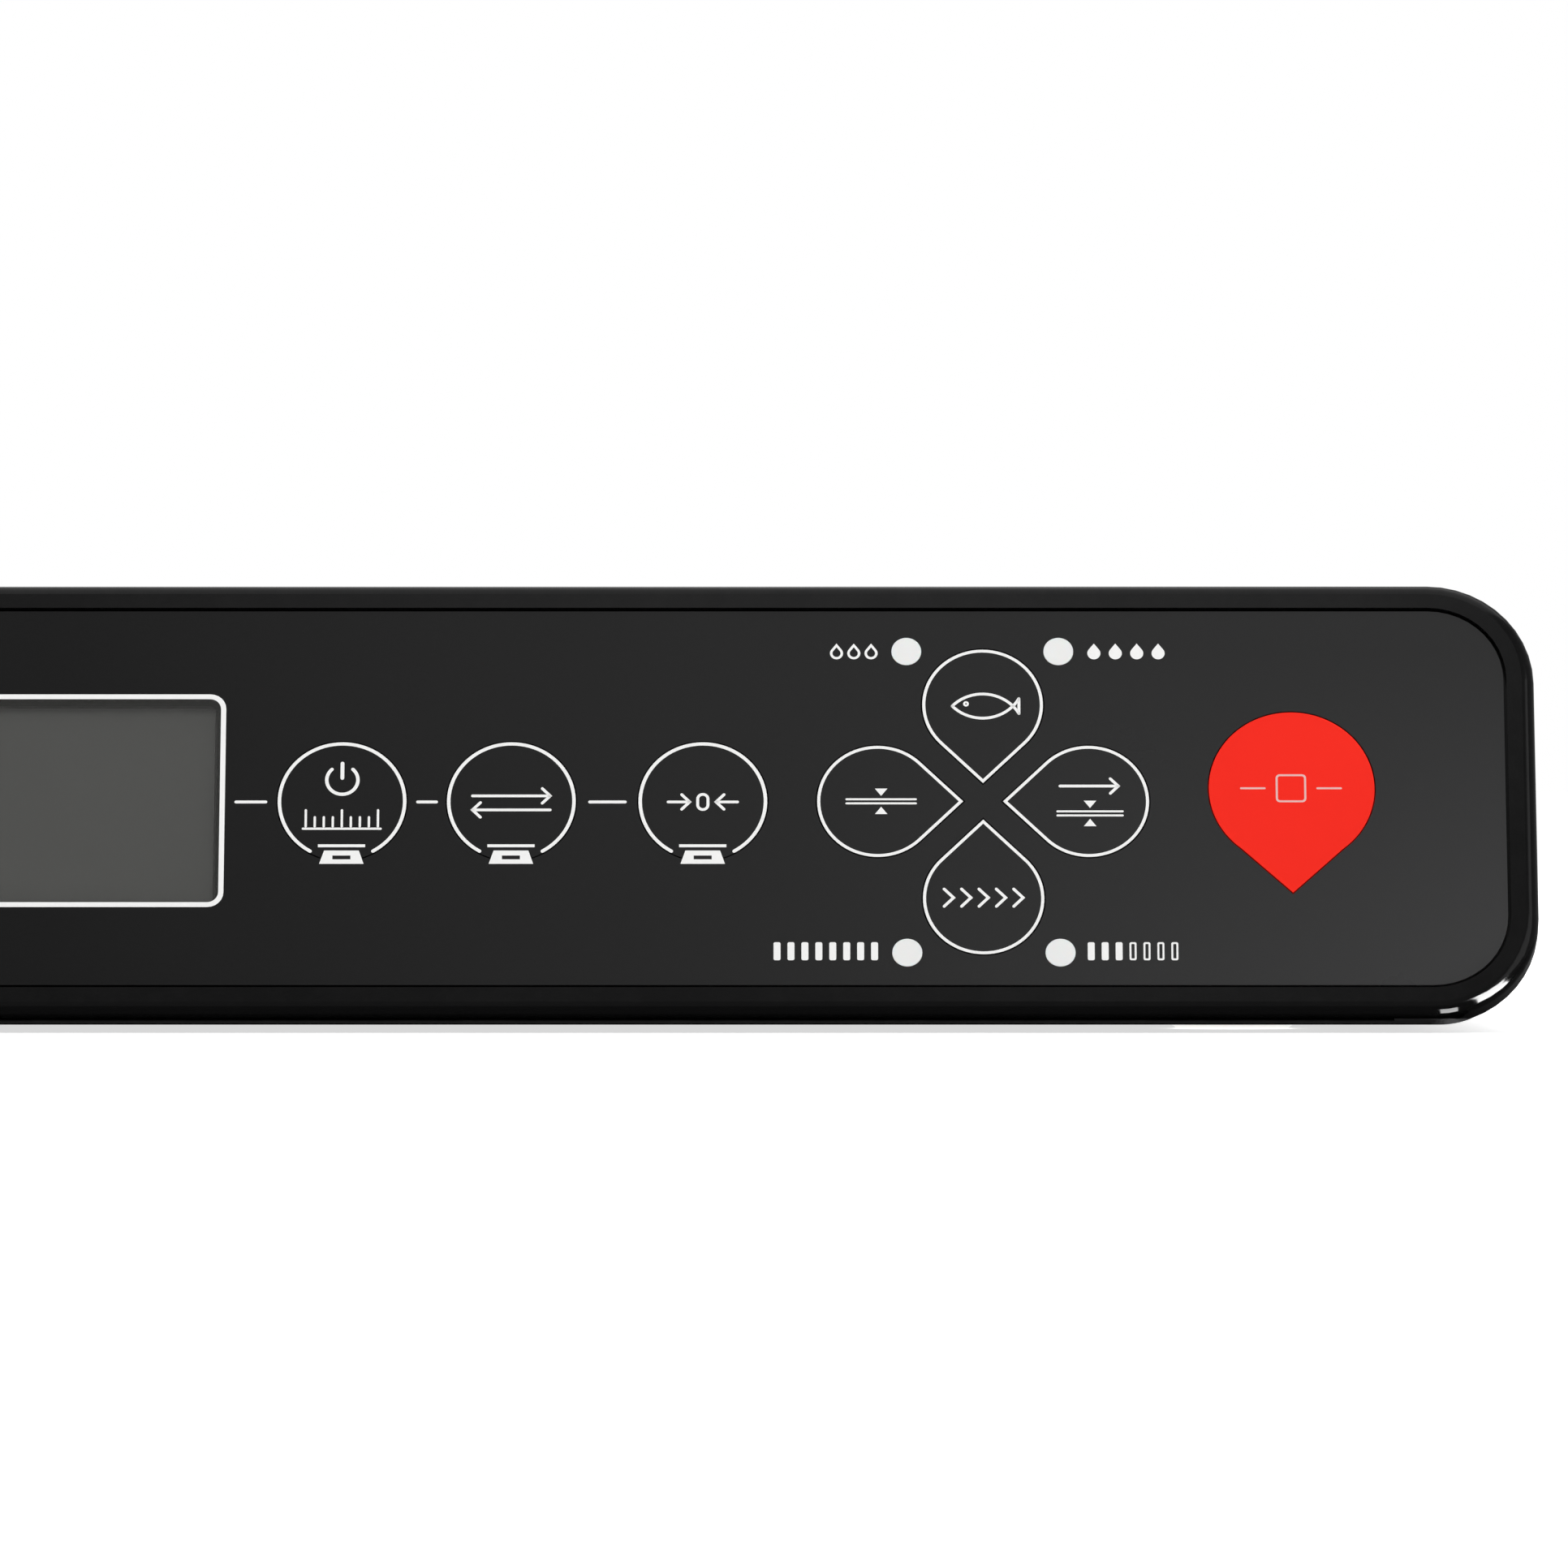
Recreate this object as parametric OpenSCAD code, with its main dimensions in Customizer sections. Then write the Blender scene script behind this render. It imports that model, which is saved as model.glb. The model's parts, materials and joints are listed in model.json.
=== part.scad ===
// Vacuum sealer with a leaning control fascia, a hinged sealing lid and a kitchen scale.
// Millimetres. +X right, +Y to the rear, +Z up. Origin: centre of the footprint, on the worktop.

/* [Fascia] */
// Width of the fascia, the widest part of the appliance
fascia_w = 430; // [420:1:440]
// Height of the fascia, measured up its slope
fascia_h = 67.6; // [66:0.2:70]
// Backward lean of the fascia
lean = 23.5; // [22:0.5:26]
// Corner radius of the fascia's outline
fascia_corner = 15.3; // [12:0.1:18]
// Rounding of the fascia's front edge
edge_r = 1.8; // [1:0.1:2.4]
// Depth of the bezel's outer flange
flange_d = 4.5; // [4:0.1:6]
// Depth to which the bezel's skirt plugs into the housing
skirt_d = 9; // [8:0.5:12]
// Flat lip between the fascia's rounding and the panel groove
lip_w = 2.2; // [1.6:0.1:3]
// Width of the groove round the panel
panel_groove = 0.45; // [0.3:0.05:0.8]
// Thickness of the panel
panel_t = 1.5; // [1.2:0.1:2]
// Depth of the panel's face below the lip
panel_sink = 0.3; // [0.1:0.1:0.6]

/* [Keys] */
// Gap round each key
key_gap = 0.2; // [0.15:0.05:0.3]
// Travel of a key
key_travel = 0.5; // [0.3:0.1:0.8]
// Overhang of a key's retaining flange
key_flange = 1.2; // [0.8:0.1:1.4]
// Radius of the three round keys
round_key_r = 9.3; // [8.5:0.1:10]
// Radius of the four clover keys
petal_r = 8.75; // [8:0.05:9.2]
// Distance from the clover's centre to the middle of each clover key
petal_reach = 15.2; // [15:0.1:16]
// Radius of the stop key
stop_r = 11.95; // [11:0.05:12.5]
// Half angle of the stop key's point
stop_tip = 47; // [44:1:55]
// Height of the row of round keys and the clover above the fascia's middle
row_v = -0.65; // [-2:0.05:2]
// Distance from the fascia's right end to the scale key
scale_key_end = 172.2; // [170:0.1:174]
// Distance from the fascia's right end to the mode key
mode_key_end = 147.8; // [146:0.1:149]
// Distance from the fascia's right end to the tare key
tare_key_end = 120.2; // [118:0.1:122]
// Distance from the fascia's right end to the clover's centre
clover_end = 79.8; // [78:0.1:81]
// Distance from the fascia's right end to the stop key
stop_end = 35.3; // [34:0.1:37]
// Height of the stop key's middle above the fascia's middle
stop_v = 1.4; // [0:0.1:3]
// Diameter of the indicator lights
light_d = 4.3; // [3.5:0.1:5]
// Half distance between the lights, across
light_u = 11; // [10.5:0.1:12]
// Half distance between the lights, up the slope
light_v = 23.65; // [23:0.05:24.5]

/* [Display] */
// Distance from the fascia's right end to the display's middle
window_end = 215; // [210:1:220]
// Width of the display window
window_w = 51.2; // [48:0.1:54]
// Height of the display window
window_h = 33; // [31:0.1:36]
// Corner radius of the display window
window_r = 2.3; // [1.5:0.1:4]
// Height of the window's middle above the fascia's middle
window_v = -0.5; // [-2:0.1:2]

/* [Housing] */
// Depth of the whole appliance
body_d = 230; // [224:1:240]
// Step in from the fascia's edge to the housing's side
side_step = 1.8; // [1.5:0.1:2.5]
// Corner radius of the housing's cross section
body_corner = 16; // [15.5:0.1:18]
// Wall thickness of the housings
wall = 2.4; // [2:0.1:2.8]
// Height of the lower housing's underside above the worktop
foot_gap = 1.2; // [1:0.1:2]
// Height at which the two housings meet
split_z = 18; // [17.5:0.5:20]
// Thickness of the lower housing's lip under the bezel
lip_t = 0.7; // [0.5:0.1:1]
// Hairline gap between the bezel and that lip
part_gap = 0.15; // [0.1:0.05:0.3]
// Height of the sealing deck
deck_z = 50; // [49:0.2:51]
// Distance from the hinge axis to the foot of the ramp in front of the deck
deck_d = 71; // [70:0.5:72]
// Height of the rear block that carries the scale
block_z = 60.6; // [60:0.2:62]
// Distance from the hinge axis back to the rear block's front wall
block_gap = 7.6; // [7.2:0.1:8]
// Rounding of the rear block's rear edges
rear_r = 12; // [8:1:14]
// General fitting clearance between moulded parts
fit = 0.25; // [0.15:0.05:0.4]

/* [Lid] */
// Gap between the lid's rim and the deck, where the bag lies
rim_gap = 1; // [0.8:0.1:1.5]
// Top of the lid
lid_top_z = 63.2; // [62.5:0.1:64]
// Distance from the hinge axis to the lid's front edge
lid_d = 69.5; // [68.5:0.1:70]
// Rounding of the lid's front top edge
lid_r = 6; // [4:0.5:7]
// Wall thickness of the lid
lid_wall = 2.2; // [1.8:0.1:2.6]
// Distance from the fascia's foremost point back to the hinge axis
hinge_back = 115; // [114:0.1:116]
// Height of the hinge axis above the deck
hinge_rise = 5.6; // [5.5:0.1:6]
// Radius of the lid's hinge barrel
barrel_r = 5; // [4.5:0.1:5.1]
// Radius of a hinge pin
pin_r = 2; // [1.5:0.1:2.5]
// Running clearance round a hinge pin
pin_clear = 0.05; // [0.02:0.01:0.08]
// Step in from the housing's side to the end of the lid's hinge barrel
cheek_zone = 10.2; // [9.8:0.1:13]

/* [Sealing] */
// Step in from the trough's end to the sealing bar's end
bar_step = 5; // [3:0.5:12]
// Width of the sealing bar
bar_w = 10; // [9:0.5:11]
// Distance from the hinge axis to the sealing bar
bar_back = 60.5; // [60:0.1:61]
// Height of the sealing bar above the deck
bar_rise = 0.5; // [0.3:0.1:0.7]
// Width kept free of the trough at each side, for the hinge, lock and screws
side_zone = 50.2; // [48:0.2:58]
// Width of the vacuum trough
trough_w = 24; // [22:0.5:25]
// Distance from the hinge axis to the trough's middle
trough_back = 30; // [29.5:0.1:30.5]
// Depth of the trough
trough_depth = 9; // [8:0.5:10]
// Width of the gaskets
gasket_w = 5; // [4:0.1:5.5]
// Distance from the trough's edge to the gasket
gasket_off = 2; // [1.8:0.1:2.5]
// Height of the lower gasket above the deck
gasket_rise = 1.6; // [1.4:0.1:1.8]
// Clearance between the two gaskets at rest
gasket_clear = 0.35; // [0.3:0.05:0.5]

/* [Locks] */
// Step in from the housing's side to the middle of each lock
lock_step = 22.2; // [21.7:0.1:22.7]
// Distance from the hinge axis to the lid lug's rear face
lug_back = 53; // [52.8:0.1:53.2]
// Width of a lid lug
lug_w = 12; // [11.5:0.1:12.5]
// Thickness of a lid lug
lug_t = 5; // [4:0.1:5]
// Travel of a lock slider
lock_travel = 5; // [4:0.1:5]

/* [Scale] */
// Width of the scale platform
platform_w = 300; // [260:1:320]
// Margin between the platform and the rear block's front and rear
platform_margin = 8.7; // [6:0.1:14]
// Top of the platform
platform_z = 65.4; // [65:0.1:66.5]
// Sheet thickness of the platform
platform_t = 1.2; // [1:0.1:1.6]
// Travel of the platform under full load
platform_travel = 0.4; // [0.2:0.1:0.5]

/* [Inside] */
// Thickness of the circuit boards
board_t = 1.6; // [1.2:0.1:2]
// Diameter of the pump motor
motor_d = 36; // [30:1:38]
// Length of the pump motor
motor_len = 56; // [50:1:60]
// Outside diameter of the air tube
tube_d = 6; // [5:0.5:7]
// Diameter of the feet
foot_d = 18; // [14:1:20]

/* [Hidden] */
$fn = 48;
eps = 0.01;
sl = sin(lean);
cl = cos(lean);
base_z = foot_gap;
rear_y = body_d / 2;
body_w = fascia_w - 2 * side_step;
half_w = body_w / 2;
scale_key_u = fascia_w / 2 - scale_key_end;
mode_key_u = fascia_w / 2 - mode_key_end;
tare_key_u = fascia_w / 2 - tare_key_end;
clover_u = fascia_w / 2 - clover_end;
stop_u = fascia_w / 2 - stop_end;
window_u = fascia_w / 2 - window_end;
hinge_y = hinge_back - rear_y;
deck_front_y = hinge_y - deck_d;
block_front_y = hinge_y + block_gap;
lid_front_y = hinge_y - lid_d;
bar_y = hinge_y - bar_back;
trough_y = hinge_y - trough_back;
lug_y = hinge_y - lug_back;
barrel_len = body_w - 2 * cheek_zone;
trough_len = body_w - 2 * side_zone;
bar_len = trough_len - 2 * bar_step;
lock_x = half_w - lock_step;
platform_d = rear_y - block_front_y - 2 * platform_margin;
platform_y = (rear_y + block_front_y) / 2;
bezel_bottom_z = base_z + lip_t + part_gap;
panel_z = bezel_bottom_z + part_gap + fascia_h / 2 * cl + edge_r * sl;
panel_y = (fascia_h / 2 - edge_r) * sl - edge_r * cl + edge_r - rear_y;
top_z = lid_top_z;
hinge_z = deck_z + hinge_rise;
rim_z = deck_z + rim_gap;
ridge_z = panel_z + fascia_h / 2 * cl - flange_d * sl - 0.6;
frame_w = fascia_w - 2 * (edge_r + lip_w);
frame_h = fascia_h - 2 * (edge_r + lip_w);
frame_corner = fascia_corner - edge_r - lip_w;
recess_d = panel_sink + panel_t;
web_t = flange_d - recess_d;
cheek_x = barrel_len / 2 + 0.6;
cheek_r = 7;
key_head = flange_d + 0.3;
key_flange_t = 1.2;
key_stem_end = key_head + key_flange_t + 2.2;
switch_top = key_stem_end + key_travel + 0.3;
switch_h = 4.3;
board_d = switch_top + switch_h;
board_w = 166;
board_h = 50;
board_u = clover_u - 25.2;
channel_wall = 1.6;
opening_x = trough_len / 2 + gasket_off + gasket_w + 5;
opening_front = bar_y - bar_w / 2 - 2.5;
opening_rear = trough_y + trough_w / 2 + gasket_off + gasket_w + channel_wall + 0.6;
ledge = 4;
lip_back = 1.4;
blend_in = 0.995;
bar_depth = 7;
liner_z = deck_z + 4;
liner_t = 2;
floor_z = base_z + wall;
lock_z = deck_z - 10.5;
slider_h = 5;
slider_w = 11;
lug_drop = 17;
lug_reach = norm([hinge_y - lug_y + lug_t, hinge_rise + lug_drop]);

// ---------- helpers ----------

// Y of the plane that lies d behind the fascia's face, at height z
function front_y(z, d) = panel_y + (z - panel_z + d * sl) / cl * sl + d * cl;

// Points of an arc in the YZ plane
function arc(cy, cz, r, a0, a1, n = 6) =
    [for (i = [0:n]) let (a = a0 + (a1 - a0) * i / n) [cy + r * cos(a), cz + r * sin(a)]];

// Places children on the fascia: u across, v up the slope, d behind the face
module on_panel(u = 0, v = 0, d = 0)
    translate([0, panel_y, panel_z]) rotate([90 - lean, 0, 0]) translate([u, v, -d]) children();

module rounded_rect(w, h, r) {
    square([w - 2 * r, h], center = true);
    square([w, h - 2 * r], center = true);
    for (x = [-1, 1], y = [-1, 1]) translate([x * (w / 2 - r), y * (h / 2 - r)]) circle(r = r);
}

// Plate whose top face is at z = 0
module plate(w, h, r, t) translate([0, 0, -t]) linear_extrude(t) rounded_rect(w, h, r);

// Plate with a rounded front edge
module pillow(w, h, r, e, t) {
    translate([0, 0, -e]) plate(w, h, r, t - e);
    plate(w - 2 * e, h - 2 * e, r - e, t);
    for (y = [-1, 1]) translate([0, y * (h / 2 - e), -e])
        rotate([0, 90, 0]) cylinder(r = e, h = w - 2 * r, center = true);
    for (x = [-1, 1]) translate([x * (w / 2 - e), 0, -e])
        rotate([90, 0, 0]) cylinder(r = e, h = h - 2 * r, center = true);
    for (x = [-1, 1], y = [-1, 1]) translate([x * (w / 2 - r), y * (h / 2 - r), -e])
        rotate_extrude() translate([r - e, 0]) intersection() {
            circle(r = e);
            translate([e - r, -e]) square([r, 2 * e]);
        }
}

// Cross section of the housings and lid, run along Y, drawn in by inset
module section_prism(inset = 0)
    translate([0, rear_y + 10, (base_z + top_z) / 2]) rotate([90, 0, 0])
        linear_extrude(body_d + 30)
            rounded_rect(body_w - 2 * inset, top_z - base_z - 2 * inset, body_corner - inset);

// Outline in the YZ plane, run along X
module profile_prism(points, w = fascia_w + 10)
    translate([-w / 2, 0, 0]) rotate([90, 0, 90]) linear_extrude(w) polygon(points);

module block(x0, x1, y0, y1, z0, z1) translate([x0, y0, z0]) cube([x1 - x0, y1 - y0, z1 - z0]);

module x_rod(r, x0, x1, y, z) translate([x0, y, z]) rotate([0, 90, 0]) cylinder(r = r, h = x1 - x0);

module both_sides() for (s = [0, 1]) mirror([s, 0, 0]) children();

// ---------- fascia ----------

// Outline with a pointed end towards -Y: circle of radius r, point of half angle a
module drop_2d(r, a) {
    k = r * blend_in;
    circle(r = r, $fn = 72);
    polygon([[0, -r / sin(a)], [k * cos(a), -k * sin(a)], [0, r * 0.2], [-k * cos(a), -k * sin(a)]]);
}

// Outline of clover key number i, grown by g: 0 top, 1 left, 2 bottom, 3 right
module petal_2d(i, g = 0) rotate(i * 90) translate([0, petal_reach]) drop_2d(petal_r + g, 45);

module stop_2d(g = 0) drop_2d(stop_r + g, stop_tip);

module round_2d(g = 0) circle(r = round_key_r + g, $fn = 72);

// Every key's outline, in place, grown by g
module all_keys_2d(g) {
    for (u = [scale_key_u, mode_key_u, tare_key_u]) translate([u, row_v]) round_2d(g);
    for (i = [0:3]) translate([clover_u, row_v]) petal_2d(i, g);
    translate([stop_u, stop_v]) stop_2d(g);
}

module lights_2d(g = 0) for (x = [-1, 1], y = [-1, 1])
    translate([clover_u + x * light_u, row_v + y * light_v]) circle(d = light_d + 2 * g);

module window_2d(g = 0) translate([window_u, window_v])
    rounded_rect(window_w + 2 * g, window_h + 2 * g, window_r + g);

// Interior of the housings behind the fascia, drawn in by inset
module front_cavity(inset) intersection() {
    section_prism(wall + inset);
    profile_prism([[front_y(floor_z, 0), floor_z + inset], [deck_front_y, floor_z + inset],
        [deck_front_y - wall, deck_z - wall - inset],
        [front_y(ridge_z, flange_d) + 1.5 - wall * 0.5, ridge_z - wall - inset],
        [front_y(ridge_z, 0), ridge_z - wall - inset]]);
}

module front_bezel() color([0.12, 0.12, 0.12]) difference() {
    union() {
        intersection() {
            on_panel() pillow(fascia_w, fascia_h, fascia_corner, edge_r, flange_d);
            block(-fascia_w, fascia_w, -body_d, 0, bezel_bottom_z, 2 * top_z);
        }
        difference() {
            intersection() {
                front_cavity(fit);
                on_panel(0, 0, flange_d - eps) plate(fascia_w, 2 * fascia_h, 1, skirt_d - flange_d);
            }
            front_cavity(fit + 1.8);
        }
        on_panel(board_u, 0, flange_d - eps) board_posts(board_d - flange_d);
    }
    on_panel(0, 0, -1) translate([0, 0, -recess_d - 1])
        linear_extrude(recess_d + 2) rounded_rect(frame_w, frame_h, frame_corner);
    on_panel(0, 0, skirt_d + 20) linear_extrude(skirt_d + 22) all_keys_2d(key_gap + 0.1);
    on_panel(0, 0, skirt_d + 20) linear_extrude(skirt_d + 22) lights_2d(0.1);
    on_panel(0, 0, skirt_d + 20) linear_extrude(skirt_d + 22) window_2d(-1);
}

// Posts that carry the control board, pointing back
module board_posts(len) for (x = [-1, 1], y = [-1, 1])
    translate([x * (board_w / 2 - 5), y * (board_h / 2 - 4.5), -len]) difference() {
        cylinder(r = 3.2, h = len);
        translate([0, 0, -1]) cylinder(r = 1.2, h = len - 1);
    }

module panel_overlay() color([0.16, 0.16, 0.16]) on_panel(0, 0, recess_d) difference() {
    linear_extrude(panel_t)
        rounded_rect(frame_w - 2 * panel_groove, frame_h - 2 * panel_groove,
            frame_corner - panel_groove);
    translate([0, 0, -1]) linear_extrude(panel_t + 2) all_keys_2d(key_gap);
    translate([0, 0, -1]) linear_extrude(panel_t + 2) lights_2d(0.05);
    translate([0, 0, -1]) linear_extrude(panel_t + 2) window_2d(0.1);
}

module display_window() color([0.3, 0.31, 0.3, 0.6]) on_panel(0, 0, recess_d)
    linear_extrude(panel_t) window_2d();

// Display glass on its back-light box, standing on the board's left extension
module display_module() color([0.55, 0.58, 0.55]) on_panel(window_u, window_v, 0) {
    translate([0, 0, -recess_d - fit - 2.8]) linear_extrude(2.8)
        square([window_w - 2.6, window_h - 2.6], center = true);
    translate([0, 0, -board_d + 1]) linear_extrude(board_d - flange_d - fit - 1)
        square([window_w + 4, window_h + 4], center = true);
    for (x = [-1, 1]) translate([x * (window_w / 2 - 4), -window_h / 2 + 1, -board_d])
        cylinder(r = 1.5, h = 2);
}

// Key: the outline is child 0 (cap) and child 1 (retaining flange)
module key_at(u, v) {
    on_panel(u, v, key_head + key_flange_t - eps) linear_extrude(key_head + key_flange_t - panel_sink)
        children(0);
    on_panel(u, v, key_head + key_flange_t) linear_extrude(key_flange_t) children(1);
    on_panel(u, v, key_stem_end) cylinder(r = 2, h = key_stem_end - key_head);
}

module round_key(u) key_at(u, row_v) {
    round_2d();
    round_2d(key_flange);
}

module petal_key(i) {
    turn = i * 90;
    on_panel(clover_u, row_v, key_head + key_flange_t - eps)
        linear_extrude(key_head + key_flange_t - panel_sink) petal_2d(i);
    on_panel(clover_u, row_v, key_head + key_flange_t) linear_extrude(key_flange_t)
        petal_2d(i, key_flange);
    on_panel(clover_u - petal_reach * sin(turn), row_v + petal_reach * cos(turn), key_stem_end)
        cylinder(r = 2, h = key_stem_end - key_head);
}

module scale_key() color([0.16, 0.16, 0.16]) round_key(scale_key_u);
module mode_key() color([0.16, 0.16, 0.16]) round_key(mode_key_u);
module tare_key() color([0.16, 0.16, 0.16]) round_key(tare_key_u);
module food_key() color([0.16, 0.16, 0.16]) petal_key(0);
module seal_key() color([0.16, 0.16, 0.16]) petal_key(1);
module speed_key() color([0.16, 0.16, 0.16]) petal_key(2);
module vacuum_seal_key() color([0.16, 0.16, 0.16]) petal_key(3);

module stop_key() color([0.95, 0.14, 0.12]) key_at(stop_u, stop_v) {
    stop_2d();
    stop_2d(key_flange);
}

module light_pipes() color([0.92, 0.92, 0.9]) on_panel(0, 0, board_d - 1.2)
    linear_extrude(board_d - 1.2 - panel_sink) lights_2d();

module control_board() color([0.1, 0.35, 0.2]) on_panel(0, 0, board_d + board_t) difference() {
    linear_extrude(board_t) union() {
        translate([board_u, 0]) square([board_w, board_h], center = true);
        translate([window_u, window_v]) square([window_w + 10, window_h + 10], center = true);
    }
    for (x = [-1, 1], y = [-1, 1])
        translate([board_u + x * (board_w / 2 - 5), y * (board_h / 2 - 4.5), -1])
            cylinder(r = 1.6, h = board_t + 2);
}

module tact_switch() {
    translate([-3, -3, 0]) cube([6, 6, 3.5]);
    cylinder(r = 1.7, h = switch_h);
}

module key_switches() color([0.2, 0.2, 0.22]) {
    for (u = [scale_key_u, mode_key_u, tare_key_u]) on_panel(u, row_v, board_d) tact_switch();
    for (i = [0:3]) on_panel(clover_u - petal_reach * sin(i * 90), row_v + petal_reach * cos(i * 90),
        board_d) tact_switch();
    on_panel(stop_u, stop_v, board_d) tact_switch();
}

// ---------- housings ----------

upper_profile = concat(
    [[front_y(split_z, flange_d), split_z], [front_y(ridge_z, flange_d), ridge_z],
        [front_y(ridge_z, flange_d) + 1.5, ridge_z], [deck_front_y, deck_z],
        [block_front_y, deck_z]],
    arc(block_front_y + 3, block_z - 3, 3, 180, 90),
    arc(rear_y - rear_r, block_z - rear_r, rear_r, 90, 0),
    [[rear_y, split_z]]);

upper_hollow = [[front_y(split_z - 1, 0), split_z - 1], [front_y(ridge_z - wall, 0), ridge_z - wall],
    [front_y(ridge_z, flange_d) + 1.5 - wall * 0.5, ridge_z - wall],
    [deck_front_y - wall * 0.7, deck_z - wall], [block_front_y + wall, deck_z - wall],
    [block_front_y + wall, block_z - wall], [rear_y - rear_r, block_z - wall],
    [rear_y - wall - rear_r * 0.3, block_z - wall - rear_r * 0.3],
    [rear_y - wall, block_z - rear_r], [rear_y - wall, split_z - 1]];

lower_profile = concat(
    [[front_y(base_z, lip_back), base_z], [front_y(base_z, lip_back) + 0.3, base_z + lip_t],
        [front_y(base_z + lip_t, flange_d), base_z + lip_t],
        [front_y(split_z, flange_d), split_z], [rear_y, split_z]],
    arc(rear_y - rear_r, base_z + rear_r, rear_r, 0, -90));

lower_hollow = [[front_y(floor_z, 0), floor_z], [front_y(split_z + 1, 0), split_z + 1],
    [rear_y - wall, split_z + 1], [rear_y - wall, base_z + rear_r],
    [rear_y - wall - rear_r * 0.3, floor_z + rear_r * 0.3], [rear_y - rear_r, floor_z]];

// Y and top of each screw boss
BOSSES = [[deck_front_y + 4, deck_z - wall / 2], [hinge_y - 4, deck_z - wall / 2],
    [rear_y - 15, block_z - wall / 2]];
boss_x = half_w - 17.2;
boss_r = 4;

module at_bosses() both_sides() for (p = BOSSES) translate([boss_x, p[0], 0]) children();

module upper_housing() color([0.14, 0.14, 0.14]) difference() {
    union() {
        difference() {
            intersection() {
                section_prism();
                union() {
                    profile_prism(upper_profile);
                    both_sides() hinge_cheek();
                }
            }
            intersection() {
                section_prism(wall);
                profile_prism(upper_hollow);
            }
        }
        both_sides() for (p = BOSSES) translate([boss_x, p[0], split_z])
            cylinder(r = boss_r, h = p[1] - split_z);
        both_sides() lock_channel();
    }
    block(-opening_x, opening_x, opening_front, opening_rear, deck_z - 10, deck_z + 5);
    both_sides() block(lock_x - lug_w / 2 - 0.5, lock_x + lug_w / 2 + 0.5,
        hinge_y - lug_reach - 0.3, lug_y + 0.5, deck_z - 5, deck_z + 1);
    both_sides() x_rod(pin_r, cheek_x - 1, cheek_x + 6.2, hinge_y, hinge_z);
    both_sides() block(body_w / 2 - 4, body_w / 2 + 1, slider_tab_y - 6 - lock_travel,
        slider_tab_y + 6, lock_z - slider_h / 2 - 0.6, lock_z + slider_h / 2 + 0.6);
    at_bosses() translate([0, 0, split_z - 1]) cylinder(r = 1.3, h = 16);
    translate([carrier_x, platform_y, block_z - 6]) cylinder(r = carrier_r + 2, h = 10);
    translate([inlet_x, rear_y, inlet_z]) inlet_cut();
}

slider_tab_y = hinge_y - 38;
channel_rear_y = hinge_y - 26;

// Ear that holds a hinge pin
module hinge_cheek() {
    x_rod(cheek_r, cheek_x, fascia_w / 2, hinge_y, hinge_z);
    block(cheek_x, fascia_w / 2, hinge_y - cheek_r, block_front_y + 1, deck_z - 1, hinge_z);
}

// Channel under the deck in which a lock slider runs
module lock_channel() difference() {
    block(lock_x - slider_w / 2 - fit - 2, lock_x + slider_w / 2 + fit + 2, lug_y + 0.6, channel_rear_y,
        lock_z - slider_h / 2 - fit - 2, deck_z - wall / 2);
    block(lock_x - slider_w / 2 - fit, lock_x + slider_w / 2 + fit, lug_y - 1, channel_rear_y + 6,
        lock_z - slider_h / 2 - fit, lock_z + slider_h / 2 + fit);
    block(lock_x, lock_x + 20, slider_tab_y - 5 - lock_travel, slider_tab_y + 5,
        lock_z - slider_h / 2 - fit, lock_z + slider_h / 2 + fit);
}

module lower_housing() color([0.13, 0.13, 0.13]) difference() {
    union() {
        difference() {
            intersection() {
                section_prism();
                profile_prism(lower_profile);
            }
            intersection() {
                section_prism(wall);
                profile_prism(lower_hollow);
            }
        }
        at_bosses() translate([0, 0, floor_z - eps]) cylinder(r = boss_r, h = split_z - floor_z);
        for (p = POWER_POSTS) translate([p[0], p[1], floor_z - eps])
            cylinder(r = 3, h = power_board_z - floor_z);
    }
    at_bosses() translate([0, 0, base_z - 1]) cylinder(r = 1.7, h = split_z);
    at_bosses() translate([0, 0, base_z - 1]) cylinder(r = 3.2, h = 8);
    for (p = POWER_POSTS) translate([p[0], p[1], floor_z + 1]) cylinder(r = 1.2, h = 20);
    at_feet() translate([0, 0, base_z - 1]) cylinder(d = foot_d + 0.1, h = 1 + foot_seat);
    for (i = [0:8]) translate([vent_x + i * 6, vent_y, base_z - 1])
        linear_extrude(wall + 2) rounded_rect(2.8, 26, 1.3);
    translate([inlet_x, rear_y, inlet_z]) inlet_cut();
}

foot_seat = 1.2;

module at_feet() for (x = [-1, 1], y = [deck_front_y - 1, rear_y - 31])
    translate([x * (half_w - 41.2), y, 0]) children();

module feet() color([0.08, 0.08, 0.08]) at_feet() rotate_extrude()
    polygon([[0, 0], [foot_d / 2 - 1, 0], [foot_d / 2, 0.6], [foot_d / 2, foot_gap + foot_seat],
        [0, foot_gap + foot_seat]]);

module housing_screws() color([0.7, 0.7, 0.72]) at_bosses() {
    translate([0, 0, base_z + 7 - 2]) cylinder(r = 2.8, h = 2);
    translate([0, 0, base_z + 7 - eps]) cylinder(r = 1.3, h = 20);
}

// ---------- sealing deck ----------

module ring_2d(g0, g1) difference() {
    rounded_rect(trough_len + 2 * g1, trough_w + 2 * g1, 3 + g1);
    rounded_rect(trough_len + 2 * g0, trough_w + 2 * g0, 3 + g0);
}

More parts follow.
